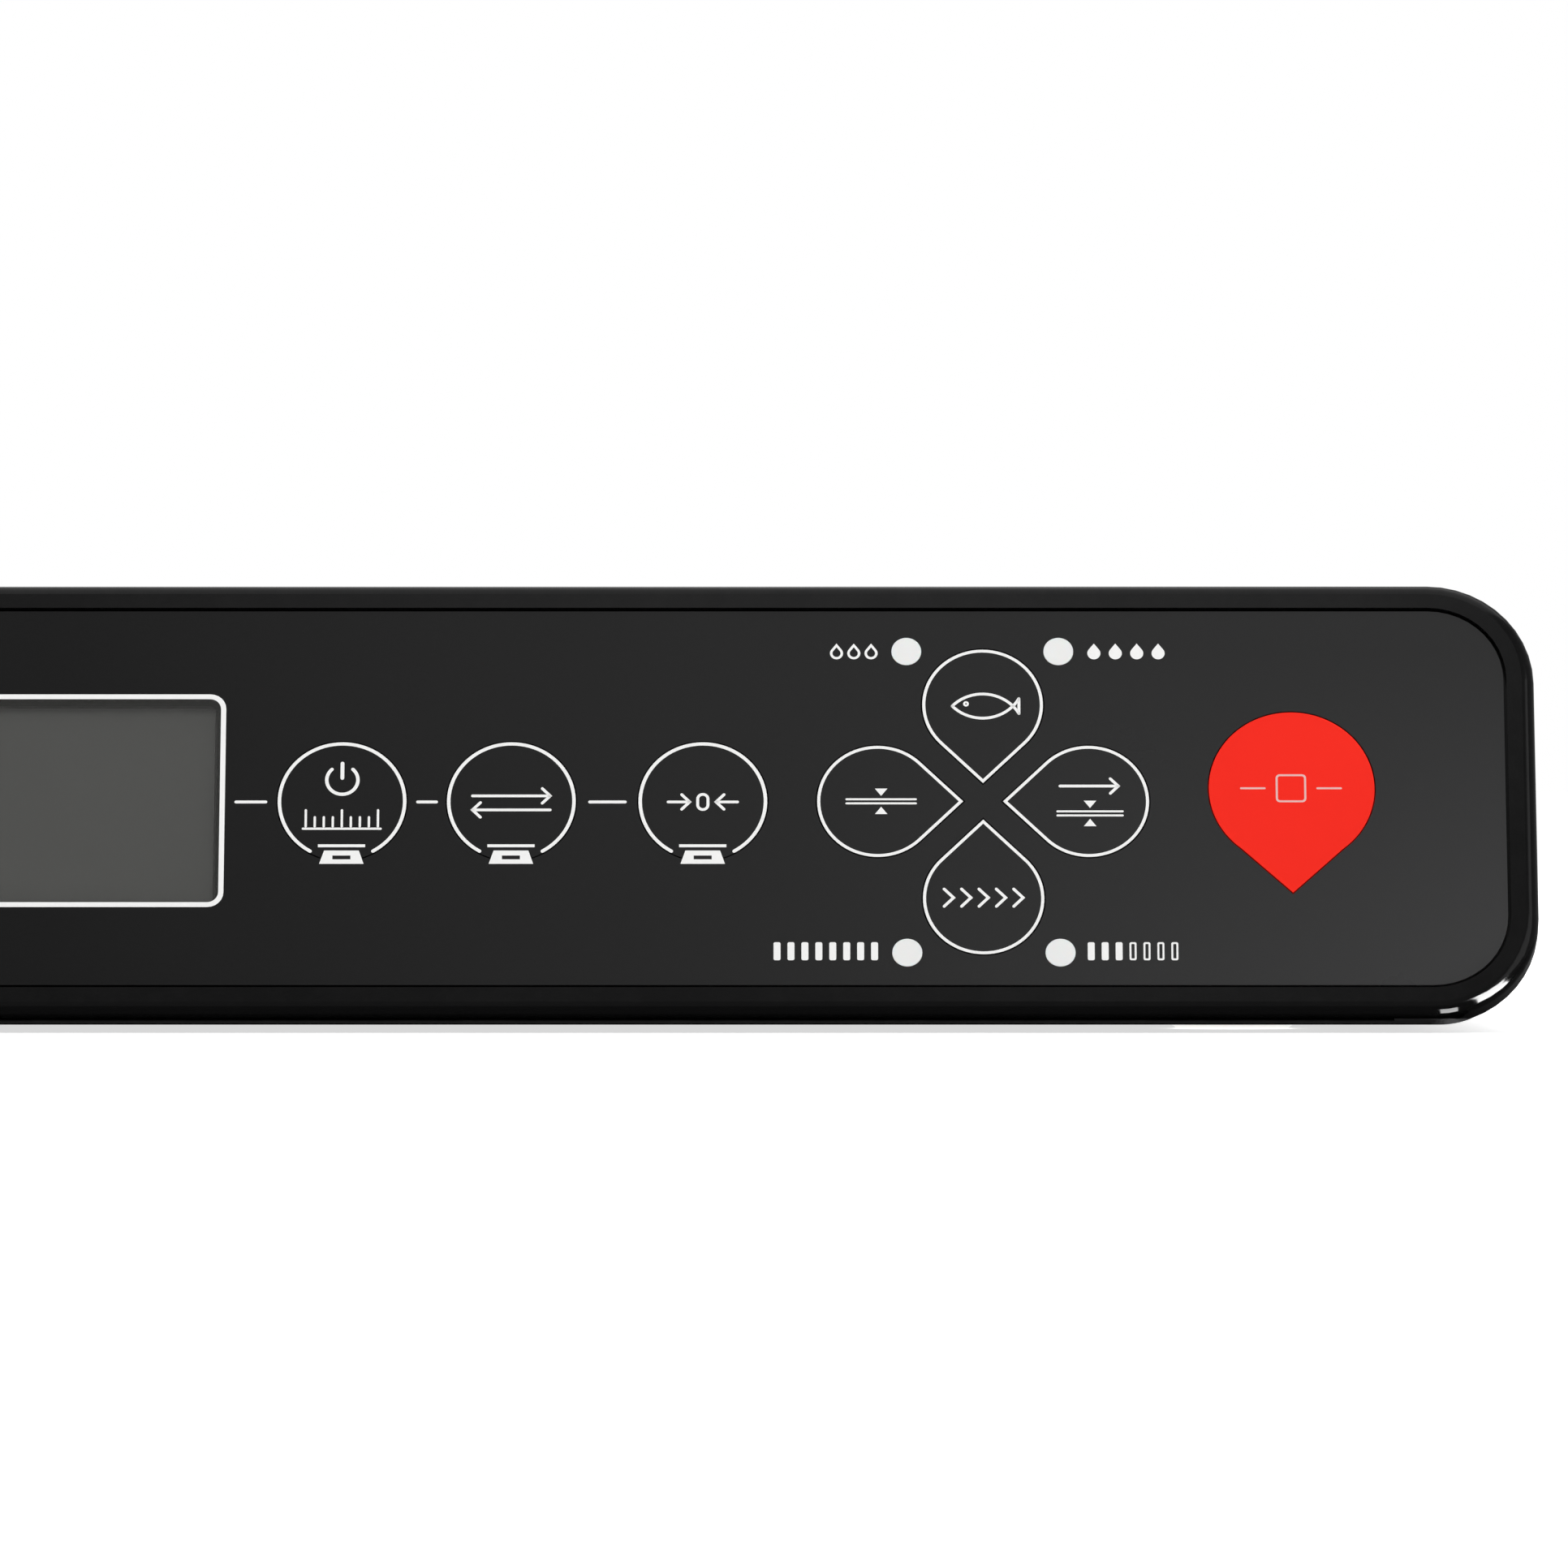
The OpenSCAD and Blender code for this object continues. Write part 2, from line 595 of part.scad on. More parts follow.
module seal_deck() color([0.1, 0.1, 0.1]) difference() {
    union() {
        block(-opening_x + fit, opening_x - fit, opening_front + fit, opening_rear - fit,
            deck_z - wall - 1, deck_z);
        block(-opening_x - ledge, opening_x + ledge, opening_front - ledge + 2, opening_rear + ledge,
            deck_z - 2 * wall, deck_z - wall);
        block(-bar_len / 2 - 2, bar_len / 2 + 2, bar_y - bar_w / 2 - 2, bar_y + bar_w / 2 + 2,
            deck_z - bar_depth - 2, deck_z - wall);
        translate([0, trough_y, deck_z - trough_depth - 2]) linear_extrude(trough_depth)
            rounded_rect(trough_len + 4, trough_w + 4, 5);
        translate([0, trough_y, deck_z - 5]) linear_extrude(4)
            ring_2d(gasket_off - channel_wall, gasket_off + gasket_w + channel_wall);
    }
    block(-bar_len / 2, bar_len / 2, bar_y - bar_w / 2, bar_y + bar_w / 2,
        deck_z - bar_depth, deck_z + 1);
    translate([0, trough_y, deck_z - trough_depth]) linear_extrude(trough_depth + 1)
        rounded_rect(trough_len, trough_w, 3);
    translate([0, trough_y, deck_z - 3]) linear_extrude(4) ring_2d(gasket_off, gasket_off + gasket_w);
    translate([port_x, trough_y, deck_z - trough_depth - 4]) cylinder(r = port_r, h = 8);
    both_sides() block(lock_x - lug_w / 2 - 0.5, lock_x + lug_w / 2 + 20,
        hinge_y - lug_reach - 0.5, lug_y + 30, deck_z - 20, deck_z - wall);
}

port_x = 23 - trough_len / 2;
port_r = 4;

module sealing_bar() color([0.35, 0.32, 0.28])
    block(-bar_len / 2 + fit, bar_len / 2 - fit, bar_y - bar_w / 2 + fit, bar_y + bar_w / 2 - fit,
        deck_z - bar_depth, deck_z + bar_rise - 0.3);

module heating_wire() color([0.75, 0.73, 0.7]) {
    block(-bar_len / 2 + 4, bar_len / 2 - 4, bar_y - 1.5, bar_y + 1.5,
        deck_z + bar_rise - 0.3, deck_z + bar_rise - 0.12);
}

module release_tape() color([0.45, 0.36, 0.25]) difference() {
    block(-bar_len / 2 + 1, bar_len / 2 - 1, bar_y - bar_w / 2 + 0.6, bar_y + bar_w / 2 - 0.6,
        deck_z + bar_rise - 0.3, deck_z + bar_rise);
    block(-bar_len / 2 + 4, bar_len / 2 - 4, bar_y - 1.5, bar_y + 1.5,
        deck_z, deck_z + bar_rise - 0.12);
}

module lower_gasket() color([0.05, 0.05, 0.05]) translate([0, trough_y, deck_z - 3])
    linear_extrude(3 + gasket_rise) ring_2d(gasket_off + 0.1, gasket_off + gasket_w - 0.1);

module drip_tray() color([0.3, 0.3, 0.3]) difference() {
    translate([0, trough_y, deck_z - trough_depth]) linear_extrude(trough_depth - 0.6)
        rounded_rect(trough_len - 2 * fit, trough_w - 2 * fit, 2.75);
    translate([0, trough_y, deck_z - trough_depth + 1.2]) linear_extrude(trough_depth)
        rounded_rect(trough_len - 2 * fit - 2.8, trough_w - 2 * fit - 2.8, 1.8);
    translate([port_x, trough_y, deck_z - trough_depth - 1]) cylinder(r = port_r + 0.6, h = 5);
}

// Air inlet that stands in the tray, with its hose barb below the deck
module vacuum_port() color([0.85, 0.85, 0.82]) translate([port_x, trough_y, 0]) difference() {
    union() {
        translate([0, 0, deck_z - trough_depth - 2]) cylinder(r = port_r - 0.05, h = 6.5);
        translate([0, 0, deck_z - trough_depth - 3.2]) cylinder(r = port_r + 2, h = 1.2);
        translate([0, 0, deck_z - trough_depth - 10]) cylinder(r = tube_d / 2 - 1.4, h = 7.5);
    }
    translate([0, 0, deck_z - trough_depth - 12]) cylinder(r = 0.9, h = 20);
}

// ---------- lid ----------

function lid_profile(i) = concat(
    [[hinge_y - 5 - i, rim_z - (i > 0 ? 5 : 0)], [lid_front_y + i, rim_z - (i > 0 ? 5 : 0)]],
    arc(lid_front_y + lid_r, lid_top_z - lid_r, lid_r - i, 180, 90),
    [[hinge_y - 9, lid_top_z - i]],
    i > 0 ? [[hinge_y - 6 - i, hinge_z + barrel_r - i]]
        : [[hinge_y, hinge_z + barrel_r], [hinge_y, hinge_z]]);

module lid_end_cuts() both_sides() {
    x_rod(cheek_r + 1.2, barrel_len / 2, fascia_w / 2, hinge_y, hinge_z);
    block(barrel_len / 2, fascia_w / 2, hinge_y - 1, hinge_y + 20, deck_z - 5, hinge_z + 20);
    block(barrel_len / 2, fascia_w / 2, hinge_y - cheek_r - 1.2, hinge_y + 20, deck_z - 5, hinge_z);
}

module lid_shell() color([0.14, 0.14, 0.14]) difference() {
    union() {
        difference() {
            intersection() {
                section_prism();
                profile_prism(lid_profile(0));
            }
            intersection() {
                section_prism(lid_wall);
                profile_prism(lid_profile(lid_wall));
            }
        }
        x_rod(barrel_r, -barrel_len / 2, barrel_len / 2, hinge_y, hinge_z);
    }
    lid_end_cuts();
    both_sides() x_rod(pin_r + pin_clear, barrel_len / 2 - 12, barrel_len / 2 + 1, hinge_y, hinge_z);
}

module hinge_pins() color([0.8, 0.8, 0.82]) both_sides()
    x_rod(pin_r, barrel_len / 2 - 11, cheek_x + 6, hinge_y, hinge_z);

module lid_liner() color([0.18, 0.18, 0.18]) difference() {
    union() {
        intersection() {
            section_prism(lid_wall + fit);
            block(-fascia_w / 2, fascia_w / 2, lid_front_y + lid_wall + fit,
                hinge_y - 8 - lid_wall, liner_z, liner_z + liner_t);
        }
        translate([0, trough_y, liner_z - 1.4]) linear_extrude(1.5)
            ring_2d(gasket_off - 1.5, gasket_off + gasket_w + 1.5);
        block(-bar_len / 2 - 2, bar_len / 2 + 2, bar_y - bar_w / 2 - 1.6, bar_y + bar_w / 2 + 1.6,
            liner_z - 1.4, liner_z + 0.1);
    }
    translate([0, trough_y, liner_z - 2]) linear_extrude(2.6)
        ring_2d(gasket_off, gasket_off + gasket_w);
    block(-bar_len / 2, bar_len / 2, bar_y - bar_w / 2, bar_y + bar_w / 2, liner_z - 2, liner_z + 0.6);
    both_sides() block(lock_x - lug_w / 2, lock_x + lug_w / 2, lug_y - lug_t, lug_y,
        liner_z - 1, liner_z + liner_t + 1);
}

// Hooked loops that the lock sliders enter
module lid_lugs() color([0.8, 0.8, 0.82]) both_sides() difference() {
    block(lock_x - lug_w / 2, lock_x + lug_w / 2, lug_y - lug_t, lug_y,
        deck_z - lug_drop, liner_z + liner_t);
    block(lock_x - slider_nose / 2 - 0.4, lock_x + slider_nose / 2 + 0.4, lug_y - lug_t - 1, lug_y + 1,
        lock_z - slider_h / 2 - 0.5, lock_z + slider_h / 2 + 0.5);
}

module press_strip() color([0.6, 0.25, 0.2])
    block(-bar_len / 2 + 0.1, bar_len / 2 - 0.1, bar_y - bar_w / 2 + 0.1, bar_y + bar_w / 2 - 0.1,
        deck_z + bar_rise + gasket_clear, liner_z + 0.6);

module upper_gasket() color([0.05, 0.05, 0.05])
    translate([0, trough_y, deck_z + gasket_rise + gasket_clear])
        linear_extrude(liner_z + 0.6 - deck_z - gasket_rise - gasket_clear)
            ring_2d(gasket_off + 0.1, gasket_off + gasket_w - 0.1);

slider_nose = 6;

module lock_slider() {
    block(lock_x - slider_w / 2, lock_x + slider_w / 2, lug_y + 6, channel_rear_y - 2,
        lock_z - slider_h / 2, lock_z + slider_h / 2);
    block(lock_x - slider_nose / 2, lock_x + slider_nose / 2, lug_y + 0.8, lug_y + 7,
        lock_z - slider_h / 2, lock_z + slider_h / 2);
    block(lock_x, body_w / 2 + 0.8, slider_tab_y - 4, slider_tab_y + 4,
        lock_z - slider_h / 2, lock_z + slider_h / 2);
    block(body_w / 2 + 0.4, fascia_w / 2 - 0.2, slider_tab_y - 8, slider_tab_y + 8,
        lock_z - 6, lock_z + 6);
}

module left_lock_slider() color([0.25, 0.25, 0.26]) mirror([1, 0, 0]) lock_slider();
module right_lock_slider() color([0.25, 0.25, 0.26]) lock_slider();

// ---------- inside ----------

power_board_z = 9;
power_x = half_w - 93.2;
power_y = hinge_y + 16;
power_w = 104;
power_d = 72;
POWER_POSTS = [for (x = [-1, 1], y = [-1, 1])
    [power_x + x * (power_w / 2 - 6), power_y + y * (power_d / 2 - 6)]];

module power_board() color([0.12, 0.4, 0.25]) difference() {
    block(power_x - power_w / 2, power_x + power_w / 2, power_y - power_d / 2, power_y + power_d / 2,
        power_board_z, power_board_z + board_t);
    for (p = POWER_POSTS) translate([p[0], p[1], power_board_z - 1]) cylinder(r = 1.6, h = 5);
}

module transformer() color([0.7, 0.6, 0.2]) translate([power_x - 28, power_y - 10, power_board_z + board_t]) {
    block(-15, 15, -13, 13, 0, 3);
    block(-15, 15, -6, 6, 3, 22);
    translate([0, 0, 3]) difference() {
        block(-12, 12, -11, 11, 0, 16);
        block(-15, 15, -6, 6, -1, 20);
    }
}

module capacitors() color([0.15, 0.18, 0.3]) {
    for (p = [[10, 20, 8, 24], [28, 20, 6, 16], [0, -24, 5, 14], [30, -24, 5, 14]])
        translate([power_x + p[0], power_y + p[1], power_board_z + board_t])
            cylinder(r = p[2], h = p[3]);
}

module board_screws() color([0.75, 0.75, 0.78]) {
    for (p = POWER_POSTS) translate([p[0], p[1], power_board_z + board_t]) {
        cylinder(r = 2.6, h = 1.8);
        translate([0, 0, -5]) cylinder(r = 1.2, h = 6);
    }
    for (x = [-1, 1], y = [-1, 1])
        on_panel(board_u + x * (board_w / 2 - 5), y * (board_h / 2 - 4.5), board_d + board_t)
            translate([0, 0, -1.8]) {
                cylinder(r = 2.6, h = 1.8);
                cylinder(r = 1.2, h = 7);
            }
}

inlet_x = power_x + 20;
inlet_z = 32;
inlet_w = 20;
inlet_h = 11;

module inlet_cut() block(-inlet_w / 2 - 2.4, inlet_w / 2 + 2.4, -10, 1,
    -inlet_h / 2 - 2.4, inlet_h / 2 + 2.4);

// Two-pin appliance inlet
module power_inlet() color([0.1, 0.1, 0.1]) translate([inlet_x, rear_y, inlet_z]) {
    difference() {
        translate([0, 0, 0]) rotate([90, 0, 0]) linear_extrude(17)
            rounded_rect(inlet_w + 4.6, inlet_h + 4.6, 2);
        translate([0, 1, 0]) rotate([90, 0, 0]) linear_extrude(14)
            rounded_rect(inlet_w, inlet_h, 4);
    }
    for (x = [-1, 1]) translate([x * 4.3, -3, 0]) rotate([90, 0, 0]) cylinder(r = 1.2, h = 20);
}

pump_x = port_x + 12;
pump_y = platform_y - 15.3;
pump_z = 26;
pump_head_w = 36;
vent_x = pump_x - 32;
vent_y = pump_y - 2;

module pump_motor() color([0.72, 0.72, 0.74]) {
    x_rod(motor_d / 2, pump_x, pump_x + motor_len, pump_y, pump_z);
    x_rod(6, pump_x + motor_len - eps, pump_x + motor_len + 3, pump_y, pump_z);
    x_rod(1.6, pump_x + motor_len, pump_x + motor_len + 8, pump_y, pump_z);
    for (x = [8, motor_len - 14]) difference() {
        block(pump_x + x, pump_x + x + 6, pump_y - motor_d / 2 + 3, pump_y + motor_d / 2 - 3,
            floor_z, pump_z);
        x_rod(motor_d / 2 - 1, pump_x, pump_x + motor_len, pump_y, pump_z);
    }
}

module pump_head() color([0.2, 0.2, 0.22]) {
    block(pump_x - 34, pump_x, pump_y - pump_head_w / 2, pump_y + pump_head_w / 2,
        pump_z - 18, pump_z + 14);
    translate([pump_x - 17, pump_y, pump_z + 14 - eps]) cylinder(r = 13, h = 4);
    translate([tube_x, pump_y - pump_head_w / 2 + eps, tube_z]) rotate([90, 0, 0])
        cylinder(r = tube_d / 2 - 1.4, h = 7);
}

tube_x = port_x;
tube_z = 21;
tube_bend = 8;

// Suction hose from the trough's port down and back to the pump
module air_tube() color([0.85, 0.85, 0.8]) {
    hose_top = deck_z - trough_depth - 3.4;
    translate([tube_x, trough_y, tube_z + tube_bend]) hose(hose_top - tube_z - tube_bend);
    translate([tube_x, trough_y + tube_bend, tube_z + tube_bend]) rotate([0, 90, 180])
        rotate_extrude(angle = 90) translate([tube_bend, 0]) hose_2d();
    hose_end = pump_y - pump_head_w / 2 - 0.2;
    translate([tube_x, hose_end, tube_z]) rotate([90, 0, 0]) hose(hose_end - trough_y - tube_bend);
}

module hose_2d() difference() {
    circle(d = tube_d);
    circle(d = tube_d - 2.6);
}

module hose(len) linear_extrude(len) hose_2d();

valve_x = pump_x + motor_len + 31;
valve_y = platform_y - 32.3;
valve_w = 22;
valve_d = 18;
valve_top = 26;

module release_valve() color([0.3, 0.3, 0.35]) {
    block(valve_x - valve_w / 2, valve_x + valve_w / 2, valve_y - valve_d / 2, valve_y + valve_d / 2,
        floor_z, valve_top);
    translate([valve_x, valve_y, valve_top - eps]) cylinder(r = 6, h = 8);
    translate([valve_x, valve_y - valve_d / 2 + eps, 15]) rotate([90, 0, 0]) cylinder(r = 2, h = 8);
}

// Microswitch that feels the right-hand lock slider
module lid_switch() color([0.55, 0.1, 0.08]) {
    block(lock_x - 4, lock_x + 4, channel_rear_y + 0.4, channel_rear_y + 13, lock_z - 6, lock_z + 2);
    block(lock_x - 1.5, lock_x + 1.5, channel_rear_y - 1, channel_rear_y + 0.5,
        lock_z - 1.5, lock_z + 1.5);
}

// ---------- scale ----------

cell_len = 80;
cell_w = 12.7;
cell_z = block_z - 22;
carrier_x = cell_len / 2 - 10;
carrier_r = 11;
carrier_z = platform_z - platform_t - 2.6;
carrier_foot = cell_z + cell_w + platform_travel + 0.3;

// Bending beam with its double-bored weak section
module load_cell() color([0.8, 0.81, 0.83]) difference() {
    block(-cell_len / 2, cell_len / 2, platform_y - cell_w / 2, platform_y + cell_w / 2,
        cell_z, cell_z + cell_w);
    for (x = [-6, 6]) translate([x, platform_y, cell_z + cell_w / 2]) rotate([90, 0, 0])
        cylinder(r = 4.6, h = cell_w + 2, center = true);
    block(-6, 6, platform_y - cell_w, platform_y + cell_w,
        cell_z + cell_w / 2 - 1.2, cell_z + cell_w / 2 + 1.2);
    for (x = [-1, 1]) for (k = [4, 14]) translate([x * (cell_len / 2 - k), platform_y, cell_z - 1])
        cylinder(r = 1.6, h = cell_w + 2);
}

module load_cell_stand() color([0.5, 0.5, 0.52]) difference() {
    union() {
        block(-cell_len / 2 - 4, -cell_len / 2 + 20, platform_y - 12, platform_y + 12,
            cell_z - 4, cell_z);
        block(-cell_len / 2 - 2, -cell_len / 2 + 18, platform_y - 8, platform_y + 8,
            floor_z + 3 - eps, cell_z - 3);
        block(-cell_len / 2 - 10, -cell_len / 2 + 28, platform_y - 14, platform_y + 14,
            floor_z, floor_z + 3);
    }
    for (k = [4, 14]) translate([-cell_len / 2 + k, platform_y, cell_z - 15])
        cylinder(r = 1.3, h = 20);
}

module load_cell_screws() color([0.75, 0.75, 0.78]) for (k = [4, 14]) {
    translate([-cell_len / 2 + k, platform_y, cell_z - 10]) cylinder(r = 1.3, h = 10 + cell_w + eps);
    translate([-cell_len / 2 + k, platform_y, cell_z + cell_w]) cylinder(r = 2.8, h = 2);
}

// Spider between the beam's free end and the platform
module platform_carrier() color([0.85, 0.85, 0.86]) {
    translate([carrier_x, platform_y, carrier_foot])
        cylinder(r = carrier_r, h = carrier_z - carrier_foot + eps);
    translate([0, platform_y, carrier_z + 2.6]) plate(150, 64, 8, 2.6);
    for (x = [-1, 1], y = [-1, 1]) translate([x * 66, platform_y + y * 24, block_z + 0.8])
        cylinder(r = 5, h = carrier_z - block_z);
}

module scale_platform() color([0.78, 0.79, 0.8]) translate([0, platform_y, platform_z])
    difference() {
        pillow(platform_w, platform_d, 10, 1.1, 3.6);
        translate([0, 0, -platform_t])
            plate(platform_w - 2 * platform_t, platform_d - 2 * platform_t, 8.8, 10);
    }

front_bezel();
panel_overlay();
display_window();
display_module();
scale_key();
mode_key();
tare_key();
food_key();
seal_key();
vacuum_seal_key();
speed_key();
stop_key();
light_pipes();
control_board();
key_switches();
upper_housing();
lower_housing();
seal_deck();
sealing_bar();
heating_wire();
release_tape();
lower_gasket();
drip_tray();
vacuum_port();
lid_shell();
lid_liner();
lid_lugs();
press_strip();
upper_gasket();
hinge_pins();
left_lock_slider();
right_lock_slider();
lid_switch();
pump_motor();
pump_head();
air_tube();
release_valve();
power_board();
transformer();
capacitors();
power_inlet();
load_cell();
load_cell_stand();
platform_carrier();
scale_platform();
feet();
housing_screws();
board_screws();
load_cell_screws();
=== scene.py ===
"""Looks of a counter-top vacuum sealer: leaning control fascia, sealing lid and kitchen scale.

Everything is in metres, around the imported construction: x to the right, y to the rear, z up.
"""

import json
import math

import bpy
from mathutils import Matrix, Vector

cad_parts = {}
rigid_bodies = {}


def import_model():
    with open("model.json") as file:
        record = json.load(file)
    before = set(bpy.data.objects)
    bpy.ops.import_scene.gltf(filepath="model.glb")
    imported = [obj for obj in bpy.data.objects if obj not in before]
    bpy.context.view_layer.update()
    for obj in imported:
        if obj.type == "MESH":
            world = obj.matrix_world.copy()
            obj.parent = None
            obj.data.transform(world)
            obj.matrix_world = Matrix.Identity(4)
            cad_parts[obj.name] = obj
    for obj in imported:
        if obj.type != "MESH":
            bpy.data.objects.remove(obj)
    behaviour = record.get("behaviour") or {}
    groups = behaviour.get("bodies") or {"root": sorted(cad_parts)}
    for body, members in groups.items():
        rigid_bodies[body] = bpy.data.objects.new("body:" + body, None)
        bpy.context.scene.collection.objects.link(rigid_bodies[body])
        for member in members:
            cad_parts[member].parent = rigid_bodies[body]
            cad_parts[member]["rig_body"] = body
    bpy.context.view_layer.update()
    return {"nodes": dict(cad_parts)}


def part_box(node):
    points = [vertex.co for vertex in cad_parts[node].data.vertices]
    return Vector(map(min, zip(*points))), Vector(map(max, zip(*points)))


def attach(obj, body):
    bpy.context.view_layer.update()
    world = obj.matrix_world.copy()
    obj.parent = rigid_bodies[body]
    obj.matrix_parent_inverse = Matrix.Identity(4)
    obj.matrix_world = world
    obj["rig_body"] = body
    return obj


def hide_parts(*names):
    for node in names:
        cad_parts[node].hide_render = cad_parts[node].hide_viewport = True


MM = 0.001
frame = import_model()
nodes = frame["nodes"]

# ---------- the fascia's own directions: u across, v up the slope, h out of its face ----------

LEAN = math.radians(23.5)
SLOPE_UP = Vector((0, math.sin(LEAN), math.cos(LEAN)))
FACE_OUT = Vector((0, -math.cos(LEAN), math.sin(LEAN)))
PANEL_THICK = 1.5 * MM


def middle(node):
    low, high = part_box(node)
    return (low + high) / 2


PANEL_FACE = middle("panel_overlay") + FACE_OUT * PANEL_THICK / 2


def fascia_matrix(u, v, height=0.0):
    """Puts the xy plane on the panel's face, u and v millimetres from its middle."""
    place = PANEL_FACE + Vector((u * MM, 0, 0)) + SLOPE_UP * v * MM + FACE_OUT * height * MM
    return Matrix.Translation(place) @ Matrix.Rotation(math.pi / 2 - LEAN, 4, "X")


# ---------- camera, floor and lamps ----------

CAMERA_X = 106.5 * MM
CAMERA_Z = 35.7 * MM
CAMERA_BACK = 2.2
PICTURE_WIDTH = 226.04 * MM
SENSOR = 36.0
WORLD_GREY = 0.42
FLOOR_WHITE = (0.82, 0.82, 0.82, 1)
FLOOR_IN_GLOSS = (0.16, 0.16, 0.16, 1)
FLOOR_GLOW = 0.68
FLOOR_SIZE = 120
CARD_OFF_FLOOR = 0.3
CARD_GLOW = 112
SMALL_CARD_GLOW = 48


def add_camera():
    place = (CAMERA_X, PANEL_FACE.y - CAMERA_BACK, CAMERA_Z)
    bpy.ops.object.camera_add(location=place, rotation=(math.pi / 2, 0, 0))
    camera = bpy.context.object
    camera.data.sensor_width = SENSOR
    camera.data.lens = SENSOR * CAMERA_BACK / PICTURE_WIDTH
    camera.data.clip_end = 200
    bpy.context.scene.camera = camera


def add_lamp(name, place, aim, size, power):
    """Rectangular soft lamp, size (wide, high) in metres."""
    bpy.ops.object.light_add(type="AREA", location=place)
    lamp = bpy.context.object
    lamp.name = name
    lamp.data.shape = "RECTANGLE"
    lamp.data.size, lamp.data.size_y = size
    lamp.data.energy = power
    lamp.rotation_euler = (Vector(aim) - Vector(place)).to_track_quat("-Z", "Y").to_euler()


def seen_directly(tree):
    """1 for camera and transmission rays, 0 for the others."""
    path = tree.nodes.new("ShaderNodeLightPath")
    either = tree.nodes.new("ShaderNodeMath")
    either.operation = "MAXIMUM"
    tree.links.new(path.outputs["Is Camera Ray"], either.inputs[0])
    tree.links.new(path.outputs["Is Transmission Ray"], either.inputs[1])
    return either.outputs[0]


def set_world():
    """Studio that is white to the eye and grey in reflections, as large black flags make it."""
    world = bpy.data.worlds.new("studio")
    bpy.context.scene.world = world
    world.use_nodes = True
    tree = world.node_tree
    background = tree.nodes["Background"]
    mix = tree.nodes.new("ShaderNodeMix")
    tree.links.new(seen_directly(tree), mix.inputs["Factor"])
    mix.inputs["A"].default_value = WORLD_GREY
    mix.inputs["B"].default_value = 1.0
    tree.links.new(mix.outputs["Result"], background.inputs["Strength"])
    background.inputs["Color"].default_value = (1, 1, 1, 1)


def add_floor():
    bpy.ops.mesh.primitive_plane_add(size=FLOOR_SIZE, location=(0, 0, 0))
    floor = bpy.context.object
    floor.name = "floor"
    material = bpy.data.materials.new("floor_white")
    material.use_nodes = True
    tree = material.node_tree
    shader = tree.nodes["Principled BSDF"]
    dim = tree.nodes.new("ShaderNodeMix")
    dim.data_type = "RGBA"
    path = tree.nodes.new("ShaderNodeLightPath")
    tree.links.new(path.outputs["Is Glossy Ray"], dim.inputs["Factor"])
    dim.inputs[6].default_value = FLOOR_WHITE
    dim.inputs[7].default_value = FLOOR_IN_GLOSS
    tree.links.new(dim.outputs[2], shader.inputs["Base Color"])
    shader.inputs["Roughness"].default_value = 0.9
    shader.inputs["Specular IOR Level"].default_value = 0.0
    shader.inputs["Emission Color"].default_value = (1, 1, 1, 1)
    glow = tree.nodes.new("ShaderNodeMath")
    glow.operation = "MULTIPLY"
    glow.inputs[1].default_value = FLOOR_GLOW
    tree.links.new(seen_directly(tree), glow.inputs[0])
    tree.links.new(glow.outputs[0], shader.inputs["Emission Strength"])
    floor.data.materials.append(material)


def add_card(name, corners, glow):
    """Small bright card that only reflections see, corners in millimetres."""
    mesh = bpy.data.meshes.new(name)
    mesh.from_pydata([Vector(c) * MM for c in corners], [], [tuple(range(len(corners)))])
    card = bpy.data.objects.new(name, mesh)
    bpy.context.collection.objects.link(card)
    material = bpy.data.materials.new(name)
    material.use_nodes = True
    tree = material.node_tree
    tree.nodes.remove(tree.nodes["Principled BSDF"])
    light = tree.nodes.new("ShaderNodeEmission")
    light.inputs["Strength"].default_value = glow
    clear = tree.nodes.new("ShaderNodeBsdfTransparent")
    either = tree.nodes.new("ShaderNodeMixShader")
    path = tree.nodes.new("ShaderNodeLightPath")
    tree.links.new(path.outputs["Is Glossy Ray"], either.inputs["Fac"])
    tree.links.new(clear.outputs[0], either.inputs[1])
    tree.links.new(light.outputs[0], either.inputs[2])
    tree.links.new(either.outputs[0], tree.nodes["Material Output"].inputs["Surface"])
    mesh.materials.append(material)


def place_cards():
    """Cards at the fascia's lower right corner, for the bright marks on its rounding."""
    z = CARD_OFF_FLOOR
    add_card("card_floor", [(209.6, -117.1, z), (227.2, -117.5, z), (276, -172, z),
                            (241, -197, z), (219.7, -141.4, z), (213.3, -126.5, z)], CARD_GLOW)
    add_card("card_upright", [(241, -197, z), (276, -174, z), (262, -188, 26), (232, -200, 20)],
             CARD_GLOW)
    add_card("card_small", [(201.1, -115.3, z), (204.2, -115.2, z), (205.1, -119.9, z),
                            (201.4, -119.5, z)], SMALL_CARD_GLOW)


def light_the_scene():
    """Three large lamps: name, place, aim, size and power in watts."""
    add_lamp("lamp_above", (0.2, -0.1, 2.2), (0, 0, 0), (3.6, 1.9), 34)
    add_lamp("lamp_front", (2.1, -2.2, 1.5), (0.1, 0, 0.03), (2.2, 1.8), 24)
    add_lamp("lamp_rear", (-0.9, 2.4, 1.7), (0, 0, 0.03), (2.4, 1.8), 24)


# ---------- shader groups ----------

BRUSH_STRETCH = (0.35, 40, 40)
DUST_START = 0.42
WEAR_START = 0.56
WEAR_GAIN = 6.0
WEAR_PATCHES = 160


